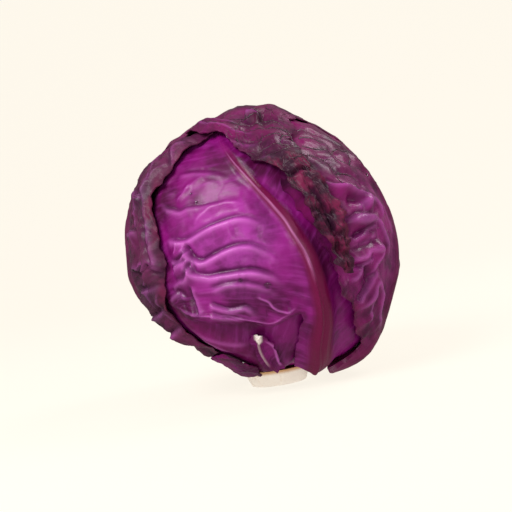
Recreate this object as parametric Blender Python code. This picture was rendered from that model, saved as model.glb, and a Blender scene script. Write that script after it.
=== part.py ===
"""A head of red cabbage, standing on the flat cut of its stump.

The head is an assembly, as it grows: a stump, the packed heart on top of it, and the wrapper leaves,
each of which starts at the stump and is wrapped over the leaves beneath it. Every leaf is drawn as rows
of (azimuth, latitude) in degrees, seen from the middle of the head: a left margin, the midrib and a right
margin, from the stump to the tip. Azimuth 0 is the front, towards -Y, and 90 is towards +X.
"""

import math

import bmesh
import bpy
import numpy as np

# Driving dimensions, in metres
HEAD_CENTRE = np.array([0.002, 0.0, 0.084])
HEART_RADIUS = 0.0750
BLADE = 0.0014  # thickness of a leaf away from its ribs
LEAF_GAP = 0.0012  # clearance between a leaf and what it lies on
MATING_GAP = 0.0003  # clearance where two pieces meet face to face
DRAPE_REACH = 0.018  # a leaf climbs onto the margin of another over this distance
DRAPE_REST = 0.005  # and is up this far before it
LIFT_CLEAR = 0.010  # a free margin starts to stand off this far from the leaf above

STUMP_FOOT_RADIUS = 0.0170
STUMP_NECK_RADIUS = 0.0225
STUMP_HEIGHT = 0.0095
STUMP_SIDES = 36
HEART_FLOOR = STUMP_HEIGHT + MATING_GAP

HEART_RINGS = 22
HEART_SIDES = 40
HEART_FOLD = 0.0012  # how far one inner leaf's edge stands out over the next
HEART_FOLDS = 3

OUTLINE_STEPS = 72  # straight pieces along each margin where it is measured
FOLD_END = 0.15  # share of a fold's length over which it fades in and out
VEIN_SLANT = 0.045  # side veins run this far out from the midrib while they climb by one spacing
BLADE_FADE = 0.020  # side veins reach their full depth this far from the midrib
SPREAD = 1.35  # a ridge is this much wider under what is laid over it
MARGIN_CURL = 0.0030  # how far a free margin stands off
MARGIN_WIDTH = 0.014  # width of the strip that stands off
FRILL_WAVE = 0.031  # distance from one wave of a margin to the next
FRILL_SHARE = 0.45  # share of the stand-off that waves
FOOT_SHARE = 0.25  # share of a leaf, from the stump up, over which its margins start to stand off

# Lumps of the ball: azimuth and latitude in degrees, spread in degrees, height in metres
LUMPS = [
    (85, -52, 19, 0.0085),
    (85, -18, 20, 0.0030),
    (-80, -52, 21, -0.0125),
    (-80, 42, 20, 0.0030),
    (60, 88, 16, 0.0060),
]


def direction(azimuth, latitude):
    """Unit vectors from the middle of the head."""
    a = np.radians(np.asarray(azimuth, float))
    b = np.radians(np.asarray(latitude, float))
    return np.stack([np.sin(a) * np.cos(b), -np.cos(a) * np.cos(b), np.sin(b)], axis=-1)


def unit(vectors):
    return vectors / np.linalg.norm(vectors, axis=-1, keepdims=True)


def smooth(x):
    """Rises from 0 to 1 as x goes from 0 to 1, with level ends."""
    x = np.clip(x, 0.0, 1.0)
    return x * x * (3 - 2 * x)


def bump(x):
    """A round-topped ridge: 1 at x = 0, and 0 from x = 1 on."""
    return 0.5 + 0.5 * np.cos(np.pi * np.clip(np.abs(x), 0.0, 1.0))


def spline(points, places):
    """Catmull-Rom curve through points, at places counted in points, put back on the unit sphere."""
    last = len(points) - 1
    i = np.clip(np.floor(places).astype(int), 0, last - 1)
    f = (np.asarray(places) - i)[:, None]
    p0, p1 = points[np.maximum(i - 1, 0)], points[i]
    p2, p3 = points[i + 1], points[np.minimum(i + 2, last)]
    curve = p1 + 0.5 * f * (p2 - p0 + f * (2 * p0 - 5 * p1 + 4 * p2 - p3 + f * (3 * (p1 - p2) + p3 - p0)))
    return unit(curve)


def nearest(points, line):
    """(distance, share of the way along) of the nearest place on a line, on a ball of the heart's radius."""
    best = np.full(len(points), np.inf)
    along = np.zeros(len(points))
    steps = np.linalg.norm(np.diff(line, axis=0), axis=1)
    total = steps.sum()
    gone = 0.0
    for start, end, step in zip(line[:-1], line[1:], steps):
        if step < 1e-9:
            continue
        f = np.clip((points - start) @ (end - start) / step**2, 0, 1)
        apart = np.linalg.norm(points - start - f[:, None] * (end - start), axis=1)
        closer = apart < best
        best[closer] = apart[closer]
        along[closer] = (gone + f[closer] * step) / total
        gone += step
    return best * HEART_RADIUS, along


def ball_radius(d):
    """Distance of the heart's surface from the middle of the head."""
    radius = np.full(len(d), HEART_RADIUS)
    for azimuth, latitude, spread, height in LUMPS:
        angle = np.degrees(np.arccos(np.clip(d @ direction(azimuth, latitude), -1, 1)))
        radius += height * np.exp(-((angle / spread) ** 2))
    return radius


class Leaf:
    """One wrapper leaf. Its rows run from the stump to the tip, each with left margin, midrib and right margin."""

    def __init__(self, name, rows, grid, rib, pillows=(0, 0.0), curl=1.0, folds=(), steps=()):
        self.name = name
        table = np.array(rows, float)
        self.left = direction(table[:, 0], table[:, 1])
        self.midrib = direction(table[:, 2], table[:, 3])
        self.right = direction(table[:, 4], table[:, 5])
        self.grid = grid
        self.rib = rib
        self.pillows = pillows
        self.curl = curl
        self.folds = folds
        self.steps = steps
        places = np.linspace(0, len(rows) - 1, OUTLINE_STEPS + 1)
        self.spine = spline(self.midrib, places)
        left, right = spline(self.left, places), spline(self.right, places)
        foot = unit(np.linspace(right[0], left[0], 9))[1:-1]
        tip = unit(np.linspace(left[-1], right[-1], 9))[1:-1]
        self.margin = np.concatenate([left, tip, right[::-1]])
        self.outline = np.concatenate([self.margin, foot, left[:1]])
        self.middle = unit(self.outline.mean(axis=0))

    def inside(self, d):
        """True where a direction is within the outline, by a stereographic chart round the leaf's middle."""
        east = unit(np.cross([0.3, 0.2, 1.0], self.middle))
        north = np.cross(self.middle, east)
        frame = np.stack([east, north, self.middle], axis=1)

        def chart(v):
            flat = v @ frame
            return flat[:, :2] / np.maximum(1 + flat[:, 2:], 1e-6)

        p, ring = chart(d), chart(self.outline)
        crossings = np.zeros(len(d), int)
        for a, b in zip(ring[:-1], ring[1:]):
            spans = (a[1] > p[:, 1]) != (b[1] > p[:, 1])
            rise = b[1] - a[1] if abs(b[1] - a[1]) > 1e-12 else 1e-12
            crossings += spans & (p[:, 0] < a[0] + (p[:, 1] - a[1]) * (b[0] - a[0]) / rise)
        return crossings % 2 == 1

    def cover(self, d, rest=DRAPE_REST):
        """1 over the whole leaf and for rest beyond its outline, then falling to 0 over DRAPE_REACH."""
        apart, _ = nearest(d, self.outline)
        return np.where(self.inside(d), 1.0, 1 - smooth((apart - rest) / DRAPE_REACH))

    def thickness(self, d, widen=1.0):
        """Blade, midrib and relief. widen spreads the ridges, for what is laid over them."""
        apart, along = nearest(d, self.spine)
        foot_width, foot_height, tip_width, tip_height = self.rib
        taper = np.clip(1 - along, 0, 1) ** 1.4
        width = (tip_width + (foot_width - tip_width) * taper) * widen
        height = tip_height + (foot_height - tip_height) * taper
        thick = BLADE + height * bump(apart / width)
        count, depth = self.pillows
        if count:
            wave = np.cos(2 * np.pi * (along * count - apart / VEIN_SLANT))
            clear = smooth((apart - 0.5 * width) / BLADE_FADE)
            thick += depth * (0.5 + 0.5 * wave) * clear if widen == 1.0 else depth * clear
        for line, fold_width, fold_height in self.folds:
            path = direction(*np.array(line, float).T)
            apart, along = nearest(d, path)
            ends = smooth(along / FOLD_END) * smooth((1 - along) / FOLD_END)
            thick += fold_height * bump(apart / (fold_width * widen)) * (ends if widen == 1.0 else 1.0)
        for line, step_width, step_height in self.steps:
            path = direction(*np.array(line, float).T)
            apart, along = nearest(d, path)
            ends = smooth(along / FOLD_END) * smooth((1 - along) / FOLD_END)
            thick += step_height * bump(apart / step_width) * ends
        return thick

    def lift(self, d, above):
        """How far a free margin stands off what is beneath it. It lies flat under any leaf above it."""
        apart, along = nearest(d, self.margin)
        _, from_foot = nearest(d, self.spine)
        length = np.linalg.norm(np.diff(self.margin, axis=0), axis=1).sum() * HEART_RADIUS
        waves = max(1, round(length / FRILL_WAVE))
        frill = 1 - FRILL_SHARE + FRILL_SHARE * np.sin(2 * np.pi * waves * along)
        height = self.curl * MARGIN_CURL * frill * smooth(1 - apart / MARGIN_WIDTH) * smooth(from_foot / FOOT_SHARE)
        for leaf in above:
            height = height * (1 - leaf.cover(d, rest=LIFT_CLEAR))
        return height


def floor_radius(d):
    """Distance from the middle of the head to the plane that the head stands on."""
    down = np.maximum(-d[:, 2], 1e-6)
    return np.where(d[:, 2] < 0, HEAD_CENTRE[2] / down, np.inf)


def stack_radius(d, below):
    """Distance from the middle of the head to the top of the leaves beneath."""
    radius = ball_radius(d)
    for leaf in below:
        radius = radius + leaf.cover(d) * (LEAF_GAP + leaf.thickness(d, widen=SPREAD))
    return radius


def clear_of_stump(points):
    """Moves points that would be in the stump out to its side, so that a leaf's foot meets it."""
    flat = np.hypot(points[:, 0], points[:, 1])
    share = np.clip(points[:, 2] / STUMP_HEIGHT, 0, 1)
    side = STUMP_FOOT_RADIUS + (STUMP_NECK_RADIUS - STUMP_FOOT_RADIUS) * share + 2 * MATING_GAP
    low = points[:, 2] < STUMP_HEIGHT + 2 * MATING_GAP
    scale = np.where(low, np.maximum(1.0, side / np.maximum(flat, 1e-9)), 1.0)
    points[:, 0] *= scale
    points[:, 1] *= scale
    return points


def new_object(name, points, faces, material):
    mesh = bpy.data.meshes.new(name)
    mesh.from_pydata([tuple(p) for p in points], [], faces)
    mesh.validate()
    made = bmesh.new()
    made.from_mesh(mesh)
    bmesh.ops.recalc_face_normals(made, faces=made.faces)
    made.to_mesh(mesh)
    made.free()
    mesh.shade_smooth()
    mesh.set_sharp_from_angle(angle=math.radians(50))
    mesh.materials.append(material)
    made_object = bpy.data.objects.new(name, mesh)
    bpy.context.scene.collection.objects.link(made_object)
    return made_object


def leaf_object(leaf, below, above, material):
    """A closed shell: the leaf's under side lies on the stack beneath, its upper side carries the relief."""
    rows, columns = leaf.grid
    places = np.linspace(0, len(leaf.midrib) - 1, rows + 1)
    left, middle, right = (spline(c, places) for c in (leaf.left, leaf.midrib, leaf.right))
    half = columns // 2
    across = 1 - (1 - np.arange(half + 1) / half) ** 1.15
    d = []
    for a, m, b in zip(left, middle, right):
        d += [m + (a - m) * f for f in across[::-1]]
        d += [m + (b - m) * f for f in across[1:]]
    d = unit(np.array(d))
    under = stack_radius(d, below) + LEAF_GAP + leaf.lift(d, above)
    upper = np.minimum(under + leaf.thickness(d), floor_radius(d))
    under = np.minimum(under, upper - 0.7 * BLADE)
    lower_points = clear_of_stump(HEAD_CENTRE + d * under[:, None])
    upper_points = clear_of_stump(HEAD_CENTRE + d * upper[:, None])
    wide = columns + 1
    count = wide * (rows + 1)
    faces = []
    for i in range(rows):
        for j in range(columns):
            a, b, c, e = i * wide + j, i * wide + j + 1, (i + 1) * wide + j + 1, (i + 1) * wide + j
            # Alike diagonals on both sides keep the two surfaces from crossing where the leaf is waved.
            faces += [(a, b, c), (a, c, e), (count + a, count + c, count + b), (count + a, count + e, count + c)]
    ring = [j for j in range(wide)]
    ring += [i * wide + columns for i in range(1, rows + 1)]
    ring += [rows * wide + j for j in range(columns - 1, -1, -1)]
    ring += [i * wide for i in range(rows - 1, 0, -1)]
    for a, b in zip(ring, ring[1:] + ring[:1]):
        faces += [(b, a, count + a), (b, count + a, count + b)]
    return new_object(leaf.name, np.concatenate([lower_points, upper_points]), faces, material)


def heart_object(material):
    """The packed inner leaves: a ball whose surface steps where one leaf closes over the next."""
    points, faces = [], []
    for i in range(1, HEART_RINGS):
        latitude = -90 + 180 * i / HEART_RINGS
        azimuth = 360 * np.arange(HEART_SIDES) / HEART_SIDES
        d = direction(azimuth, np.full(HEART_SIDES, latitude))
        turn = (azimuth / 360 * HEART_FOLDS + latitude / 150) % 1.0
        radius = ball_radius(d) - HEART_FOLD * turn * math.cos(math.radians(latitude))
        points += list(HEAD_CENTRE + d * radius[:, None])
    points = np.array(points)
    points[:, 2] = np.maximum(points[:, 2], HEART_FLOOR)
    bottom, top = len(points), len(points) + 1
    ends = [[HEAD_CENTRE[0], 0, HEART_FLOOR], [HEAD_CENTRE[0], 0, HEAD_CENTRE[2] + HEART_RADIUS]]
    points = np.concatenate([points, ends])
    rings = HEART_RINGS - 1
    for j in range(HEART_SIDES):
        k = (j + 1) % HEART_SIDES
        faces.append((bottom, k, j))
        faces.append((top, (rings - 1) * HEART_SIDES + j, (rings - 1) * HEART_SIDES + k))
        for i in range(rings - 1):
            a, b = i * HEART_SIDES, (i + 1) * HEART_SIDES
            faces.append((a + j, a + k, b + k, b + j))
    return new_object("heart", points, faces, material)


def stump_object(material):
    """The cut stalk: a flat foot, and a side that flares to where the leaves start."""
    profile = [
        (STUMP_FOOT_RADIUS, 0.0),
        (STUMP_FOOT_RADIUS + 0.0012, 0.0010),
        (0.5 * (STUMP_FOOT_RADIUS + STUMP_NECK_RADIUS), 0.5 * STUMP_HEIGHT),
        (STUMP_NECK_RADIUS - 0.0012, 0.9 * STUMP_HEIGHT),
        (STUMP_NECK_RADIUS - 0.0030, STUMP_HEIGHT),
    ]
    made = bmesh.new()
    rings = []
    for radius, height in profile:
        ring = []
        for j in range(STUMP_SIDES):
            angle = 2 * math.pi * j / STUMP_SIDES
            ring.append(made.verts.new((radius * math.cos(angle), radius * math.sin(angle), height)))
        rings.append(ring)
    for low, high in zip(rings[:-1], rings[1:]):
        for j in range(STUMP_SIDES):
            k = (j + 1) % STUMP_SIDES
            made.faces.new((low[j], low[k], high[k], high[j]))
    made.faces.new(rings[0][::-1])
    made.faces.new(rings[-1])
    mesh = bpy.data.meshes.new("stump")
    made.to_mesh(mesh)
    made.free()
    mesh.shade_smooth()
    mesh.set_sharp_from_angle(angle=math.radians(30))
    mesh.materials.append(material)
    stump = bpy.data.objects.new("stump", mesh)
    bpy.context.scene.collection.objects.link(stump)
    return stump


def finish(name, colour, roughness):
    """A Principled material with a linear colour."""
    material = bpy.data.materials.new(name)
    material.use_nodes = True
    shader = material.node_tree.nodes["Principled BSDF"]
    shader.inputs["Base Color"].default_value = (*colour, 1.0)
    shader.inputs["Roughness"].default_value = roughness
    shader.inputs["Metallic"].default_value = 0.0
    return material


# Each row: left margin, midrib, right margin, as azimuth and latitude
LOWER_LEFT = [
    (-28, -62, -10, -62, 12, -61),
    (-27, -53, -13, -53, 9, -52),
    (-34, -42, -21, -42, 6, -40),
    (-45, -31, -34, -31, 2, -22),
    (-54, -18, -44, -18, 0, -4),
    (-60, 2, -50, 2, -2, 14),
    (-62, 24, -50, 25, -6, 32),
    (-58, 46, -44, 46, -12, 50),
    (-42, 62, -34, 62, -18, 60),
]
FRONT = [
    (20, -68, 42, -68, 64, -68),
    (8, -57, 31, -56, 53, -56),
    (-2, -45, 25, -44, 50, -42),
    (-13, -33, 24, -33, 52, -28),
    (-27, -24, 22, -20, 52, -14),
    (-40, -18, 19, -8, 50, 0),
    (-46, -4, 15, 4, 45, 13),
    (-50, 12, 10, 15, 38, 25),
    (-53, 28, 3, 27, 28, 38),
    (-50, 43, -7, 40, 13, 50),
    (-40, 56, -15, 52, -4, 60),
    (-30, 64, -22, 62, -14, 66),
]
BACK = [
    (-188, -70, -150, -72, -112, -70),
    (-192, -52, -150, -54, -108, -52),
    (-192, -30, -150, -32, -108, -30),
    (-200, -6, -150, -8, -100, -6),
    (-200, 18, -149, 18, -98, 18),
    (-192, 40, -147, 44, -103, 42),
    (-172, 52, -146, 57, -120, 52),
    (-162, 57, -148, 61, -134, 58),
]
LEFT = [
    (-108, -70, -85, -72, -64, -69),
    (-120, -55, -88, -57, -52, -53),
    (-130, -40, -92, -42, -42, -39),
    (-136, -25, -95, -27, -50, -25),
    (-140, -10, -97, -12, -46, -13),
    (-141, 5, -98, 3, -42, -2),
    (-140, 20, -95, 18, -44, 13),
    (-136, 35, -92, 33, -48, 26),
    (-128, 48, -85, 46, -41, 40),
    (-112, 60, -70, 58, -33, 51),
    (-90, 68, -58, 67, -22, 58),
]
REMNANT = [
    (-60, -69, -38, -70, -22, -69),
    (-66, -62, -40, -62, -18, -61),
    (-66, -55, -42, -54, -20, -53),
    (-58, -49, -44, -48, -30, -48),
]
RIGHT = [
    (54, -68, 76, -69, 106, -69),
    (55, -58, 77, -57, 108, -56),
    (54, -48, 78, -44, 110, -42),
    (47, -40, 80, -30, 116, -28),
    (38, -29, 81, -16, 120, -14),
    (30, -18, 81, -3, 123, 0),
    (27, -5, 80, 9, 124, 14),
    (22, 8, 78, 21, 122, 28),
    (16, 20, 74, 33, 117, 41),
    (15, 32, 68, 45, 106, 54),
    (20, 46, 60, 56, 90, 62),
    (34, 58, 52, 66, 74, 69),
]
TOP = [
    (124, -70, 148, -72, 168, -70),
    (118, -52, 150, -54, 184, -52),
    (108, -30, 149, -32, 194, -30),
    (101, -8, 147, -8, 201, -6),
    (98, 12, 145, 16, 208, 18),
    (96, 32, 140, 40, 222, 34),
    (92, 48, 128, 62, 247, 46),
    (80, 58, 80, 78, 284, 57),
    (58, 61, 20, 74, 322, 59),
    (40, 58, 14, 62, 345, 54),
    (32, 50, 16, 50, 356, 47),
    (28, 40, 18, 40, 363, 40),
    (28, 30, 21, 30, 371, 33),
    (30, 20, 25, 19, 378, 19),
    (34, 9, 27, 9, 380, 9),
    (34, -1, 29, -1, 385, 0),
    (32, -8, 30, -8, 388, -8),
]
STUB = [
    (-8, -60, -3, -60, 3, -60),
    (-10, -53, -5, -53, 1, -53),
    (-12, -46, -7.5, -46, -2, -46),
    (-13, -40, -9, -39.5, -5, -39),
    (-12.5, -37, -9.5, -36, -6, -36.5),
]

# Folds of the front leaf: where the blade is puckered between its side veins
FRONT_FOLDS = [
    ([(-12, 26), (-24, 25), (-34, 26), (-42, 32)], 0.009, 0.0020),
    ([(-12, 21), (-20, 20), (-29, 13), (-40, 14)], 0.008, 0.0024),
    ([(4, 14), (-8, 14), (-20, 12), (-28, 6)], 0.009, 0.0026),
    ([(6, 4), (-8, 6), (-18, 3), (-26, -1)], 0.008, 0.0030),
    ([(8, -6), (-6, -7), (-18, -6), (-28, 0)], 0.008, 0.0028),
    ([(-28, 8), (-34, 4), (-42, 3)], 0.007, 0.0025),
    ([(-30, -4), (-36, -12), (-40, -18)], 0.007, 0.0030),
    ([(4, -18), (-8, -20), (-20, -20), (-30, -16)], 0.009, 0.0026),
]
# The lower lobe of the front leaf's blade, which lies over the foot of its own stalk
FRONT_LOBE = [([(11, -24), (5, -27), (-4, -30), (-14, -29), (-26, -22)], 0.008, 0.0028)]
RIGHT_FOLDS = [
    ([(36, 22), (46, 19), (56, 16), (62, 12)], 0.007, 0.0026),
    ([(34, 6), (46, 6), (56, 4)], 0.007, 0.0028),
    ([(40, 12), (50, 12), (60, 10)], 0.007, 0.0022),
    ([(38, -12), (46, -7), (56, -3)], 0.007, 0.0026),
    ([(42, -22), (48, -12), (55, -6)], 0.007, 0.0024),
]

PURPLE = (0.155, 0.013, 0.110)
DUSTY = (0.120, 0.050, 0.085)
DARK = (0.085, 0.010, 0.045)
CREAM = (0.78, 0.70, 0.56)


def build():
    for old in list(bpy.data.objects):
        bpy.data.objects.remove(old, do_unlink=True)
    purple = finish("purple_leaf", PURPLE, 0.42)
    dusty = finish("bloomed_leaf", DUSTY, 0.60)
    dark = finish("heart_leaf", DARK, 0.50)
    cream = finish("cut_stalk", CREAM, 0.70)
    # From the innermost leaf to the outermost. A rib is foot width, foot height, tip width, tip height.
    leaves = [
        (Leaf("leaf_lower_left", LOWER_LEFT, (18, 12), (0.018, 0.0055, 0.005, 0.001), curl=0.3), purple),
        (Leaf("leaf_front", FRONT, (32, 24), (0.017, 0.0085, 0.003, 0.001), curl=0.7,
              folds=FRONT_FOLDS, steps=FRONT_LOBE), purple),
        (Leaf("leaf_back", BACK, (18, 14), (0.014, 0.0060, 0.003, 0.001), (7, 0.0012)), purple),
        (Leaf("leaf_left", LEFT, (30, 16), (0.014, 0.0055, 0.003, 0.001), (8, 0.0012), curl=1.2), dusty),
        (Leaf("leaf_remnant", REMNANT, (8, 12), (0.016, 0.0050, 0.012, 0.002), curl=0.5), purple),
        (Leaf("leaf_right", RIGHT, (28, 18), (0.016, 0.0050, 0.003, 0.001), (8, 0.0008), curl=1.2,
              folds=RIGHT_FOLDS), purple),
        (Leaf("leaf_top", TOP, (38, 18), (0.014, 0.0060, 0.002, 0.0008), (9, 0.0012), curl=1.0), dusty),
        (Leaf("leaf_stub", STUB, (8, 8), (0.005, 0.0040, 0.004, 0.003), curl=0.0), purple),
    ]
    order = [leaf for leaf, _ in leaves]
    for i, (leaf, material) in enumerate(leaves):
        leaf_object(leaf, order[:i], order[i + 1 :], material)
    heart_object(dark)
    stump_object(cream)


build()
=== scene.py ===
"""A head of red cabbage, standing on its cut stump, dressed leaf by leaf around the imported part."""

import math
from dataclasses import dataclass

import bpy
import numpy as np
from mathutils import Matrix, Vector


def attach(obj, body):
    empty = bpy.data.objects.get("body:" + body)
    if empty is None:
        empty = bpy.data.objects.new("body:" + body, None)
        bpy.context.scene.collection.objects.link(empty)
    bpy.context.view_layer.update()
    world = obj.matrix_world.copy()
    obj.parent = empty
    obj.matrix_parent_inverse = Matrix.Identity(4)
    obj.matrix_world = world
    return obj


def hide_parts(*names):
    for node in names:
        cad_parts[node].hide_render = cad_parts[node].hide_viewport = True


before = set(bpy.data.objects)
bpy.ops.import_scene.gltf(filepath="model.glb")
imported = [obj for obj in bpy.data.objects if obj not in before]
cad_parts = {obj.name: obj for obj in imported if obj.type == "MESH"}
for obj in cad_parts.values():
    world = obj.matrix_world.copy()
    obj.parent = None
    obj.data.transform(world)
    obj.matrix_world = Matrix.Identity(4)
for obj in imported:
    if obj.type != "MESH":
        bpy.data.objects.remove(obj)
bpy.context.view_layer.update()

bl_info = {
    "name": "Red cabbage head",
    "version": (1, 0, 0),
    "blender": (4, 5, 0),
    "location": "3D View > Sidebar > Cabbage",
    "description": "Builds a head of red cabbage from wrapper leaves, veins, dew, heart and stump",
    "category": "Add Mesh",
}

# How the head is laid out, in metres, as in the part
HEAD_CENTRE = np.array([0.002, 0.0, 0.084])
HEART_RADIUS = 0.0750
BLADE = 0.0014  # thickness of a leaf away from its ribs
LEAF_GAP = 0.0012  # clearance between a leaf and what it lies on
MATING_GAP = 0.0003  # clearance where two pieces meet face to face
LIFT_CLEAR = 0.010  # a free margin starts to stand off this far from the leaf above
SPREAD = 1.35  # a ridge is this much wider under what is laid over it
MARGIN_CURL = 0.0030  # how far a free margin stands off
MARGIN_WIDTH = 0.014  # width of the strip that stands off
FRILL_WAVE = 0.031  # distance from one wave of a margin to the next
FRILL_SHARE = 0.45  # share of the stand-off that waves
FOOT_SHARE = 0.25  # share of a leaf, from the stump up, over which its margins start to stand off
VEIN_SLANT = 0.045  # side veins run this far out from the midrib while they climb by one spacing
BLADE_FADE = 0.020  # side veins reach their full depth this far from the midrib
STUMP_FOOT_RADIUS = 0.0170
STUMP_NECK_RADIUS = 0.0225
STUMP_HEIGHT = 0.0095
HEART_FLOOR = STUMP_HEIGHT + MATING_GAP
HEART_FOLD = 0.0012  # how far one inner leaf's edge stands out over the next
HEART_FOLDS = 3

# How the dressed leaves lie on each other. They climb over a shorter distance than the part's solids do.
DRAPE_REACH = 0.010  # a leaf climbs onto the margin of another over this distance
DRAPE_REST = 0.002  # and is up this far before it
PRESS_WIDTH = 0.011  # a margin that doesn't curl lies flat on what is under it over this distance
RELIEF_REST = 0.0015  # a leaf's relief stays flat this far out from the leaf above it
RELIEF_REACH = 0.0060  # and reaches its full height over this distance
EDGE_WIDTH = 0.0024  # width of the darker line along a margin, partly the margin's own colour and partly painted shade
GROOVE_SPACING = 0.0023  # from one fine groove of the midrib to the next
GROOVE_DEPTH = 0.00006
STRIP_RELIEF = 0.0014  # height of the creases in a shrivelled strip
FIBRE_TURNS = 8  # how often the fibres' pattern repeats along a leaf
FIBRE_SCALE = 0.017  # metres of pattern to one repeat

OUTLINE_STEPS = 60  # straight pieces along each margin where it is measured
COARSE_ROWS = 56  # the stack under a leaf is worked out on this many rows and columns
COARSE_COLUMNS = 40
NOISE_CELLS = 32  # the noise repeats after this many lumps
NOISE_SHIFT = 9.7  # moves the noise's lattice off the middle of the head

WAX_ROUGHNESS = 0.37  # of a leaf that its wax film makes glossy
BLOOM_ROUGHNESS = 0.12  # and how much a full grey bloom adds
DROPS_A_LEAF = 5  # drops of water on each leaf that the photo doesn't show

# Lumps of the ball: azimuth and latitude in degrees, spread in degrees, height in metres
LUMPS = [
    (85, -52, 19, 0.0085),
    (85, -18, 20, 0.0030),
    (-80, -52, 21, -0.0125),
    (-80, 42, 20, 0.0030),
    (60, 88, 16, 0.0060),
]

# Strokes drawn on the blade, in metres. A pleat is a crease, a crest on its right-hand side and a long fall.
NOTCH_WIDTH = 0.0013
CREST_WIDTH = 0.0015
NOTCH_DARK = 0.0007  # a crease this deep gets the full painted shade
CREST_LIT = 0.0022  # a pleat this high gets the full painted highlight along its crest
# A ridge this high gets the full painted highlight along its crest
RIDGE_LIT = 0.0024
VALLEY_DEPTH = 0.0007  # of the groove that a drawn vein lies in
VALLEY_WIDTH = 0.005
STROKE_END = 0.20  # share of a ridge's length over which it fades in and out
STROKE_STEPS = 6  # straight pieces between two points of a stroke
VEIN_STEPS = 14  # and between two points of a drawn vein

# Camera, as the photograph was taken
CAMERA_DISTANCE = 0.900
CAMERA_ELEVATION = 3.0
CAMERA_ROLL = 9.0
PIXELS_PER_METRE = 1650.0  # at the middle of the head
FRAME_PIXELS = 512.0
SENSOR_WIDTH = 36.0
HEAD_RIGHT_PIXELS = 5.2  # the middle of the head is this far right of the frame's middle
HEAD_UP_PIXELS = 11.0

BODY = "root"


def linear(code):
    """Linear RGBA of an sRGB hex colour."""
    parts = [int(code[i : i + 2], 16) / 255 for i in (1, 3, 5)]
    return (*[c / 12.92 if c <= 0.04045 else ((c + 0.055) / 1.055) ** 2.4 for c in parts], 1.0)


def direction(azimuth, latitude):
    """Unit vectors from the middle of the head. Azimuth 0 is the front, and 90 is to its right."""
    a = np.radians(np.asarray(azimuth, float))
    b = np.radians(np.asarray(latitude, float))
    return np.stack([np.sin(a) * np.cos(b), -np.cos(a) * np.cos(b), np.sin(b)], axis=-1)


def unit(vectors):
    return vectors / np.linalg.norm(vectors, axis=-1, keepdims=True)


def smooth(x):
    """Rises from 0 to 1 as x goes from 0 to 1, with level ends."""
    x = np.clip(x, 0.0, 1.0)
    return x * x * (3 - 2 * x)


def bump(x):
    """A round-topped ridge: 1 at x = 0, and 0 from x = 1 on."""
    return 0.5 + 0.5 * np.cos(np.pi * np.clip(np.abs(x), 0.0, 1.0))


def spline(points, places):
    """Catmull-Rom curve through points, at places counted in points, put back on the unit sphere."""
    last = len(points) - 1
    i = np.clip(np.floor(places).astype(int), 0, last - 1)
    f = (np.asarray(places) - i)[:, None]
    p0, p1 = points[np.maximum(i - 1, 0)], points[i]
    p2, p3 = points[i + 1], points[np.minimum(i + 2, last)]
    curve = p1 + 0.5 * f * (p2 - p0 + f * (2 * p0 - 5 * p1 + 4 * p2 - p3 + f * (3 * (p1 - p2) + p3 - p0)))
    return unit(curve)


def finer(count, places):
    """Catmull-Rom weights that read count evenly spaced rows at places from 0 to count - 1."""
    i = np.clip(np.floor(places).astype(int), 0, count - 2)
    f = places - i
    weights = np.zeros((len(places), count))
    rows = np.arange(len(places))
    for offset, w in (
        (-1, -0.5 * f + f**2 - 0.5 * f**3),
        (0, 1 - 2.5 * f**2 + 1.5 * f**3),
        (1, 0.5 * f + 2 * f**2 - 1.5 * f**3),
        (2, -0.5 * f**2 + 0.5 * f**3),
    ):
        np.add.at(weights, (rows, np.clip(i + offset, 0, count - 1)), w)
    return weights


def noise(points, size, seed):
    """Smooth seeded noise from -1 to 1 over points in metres, with lumps about size across."""
    lattice = np.random.default_rng(seed).uniform(-1, 1, (NOISE_CELLS, NOISE_CELLS, NOISE_CELLS))
    p = points / size + NOISE_SHIFT
    i = np.floor(p).astype(int)
    f = smooth(p - i)
    low, high = i % NOISE_CELLS, (i + 1) % NOISE_CELLS
    total = np.zeros(points.shape[:-1])
    for dx, x in ((1 - f[..., 0], low[..., 0]), (f[..., 0], high[..., 0])):
        for dy, y in ((1 - f[..., 1], low[..., 1]), (f[..., 1], high[..., 1])):
            for dz, z in ((1 - f[..., 2], low[..., 2]), (f[..., 2], high[..., 2])):
                total += dx * dy * dz * lattice[x, y, z]
    return total


def ridged(points, size, seed):
    """Sharp-crested noise from 0 to 1, as in crumpled paper."""
    return 1 - np.abs(noise(points, size, seed)) * 2


def nearest(points, line):
    """(distance, share along, signed distance) from a line, on a ball of the heart's radius.

    The signed distance is positive on the right-hand side, going along the line and seen from outside.
    """
    best = np.full(len(points), np.inf)
    along = np.zeros(len(points))
    side = np.ones(len(points))
    steps = np.linalg.norm(np.diff(line, axis=0), axis=1)
    total = steps.sum()
    gone = 0.0
    for start, end, step in zip(line[:-1], line[1:], steps):
        if step < 1e-9:
            continue
        run = end - start
        offset = points - start
        f = np.clip(offset @ run / step**2, 0, 1)
        apart = np.linalg.norm(offset - f[:, None] * run, axis=1)
        closer = apart < best
        best[closer] = apart[closer]
        along[closer] = (gone + f[closer] * step) / total
        to_right = np.cross(run, unit(start + end))
        side[closer] = np.where(offset[closer] @ to_right >= 0, 1.0, -1.0)
        gone += step
    return best * HEART_RADIUS, along, best * side * HEART_RADIUS


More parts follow.
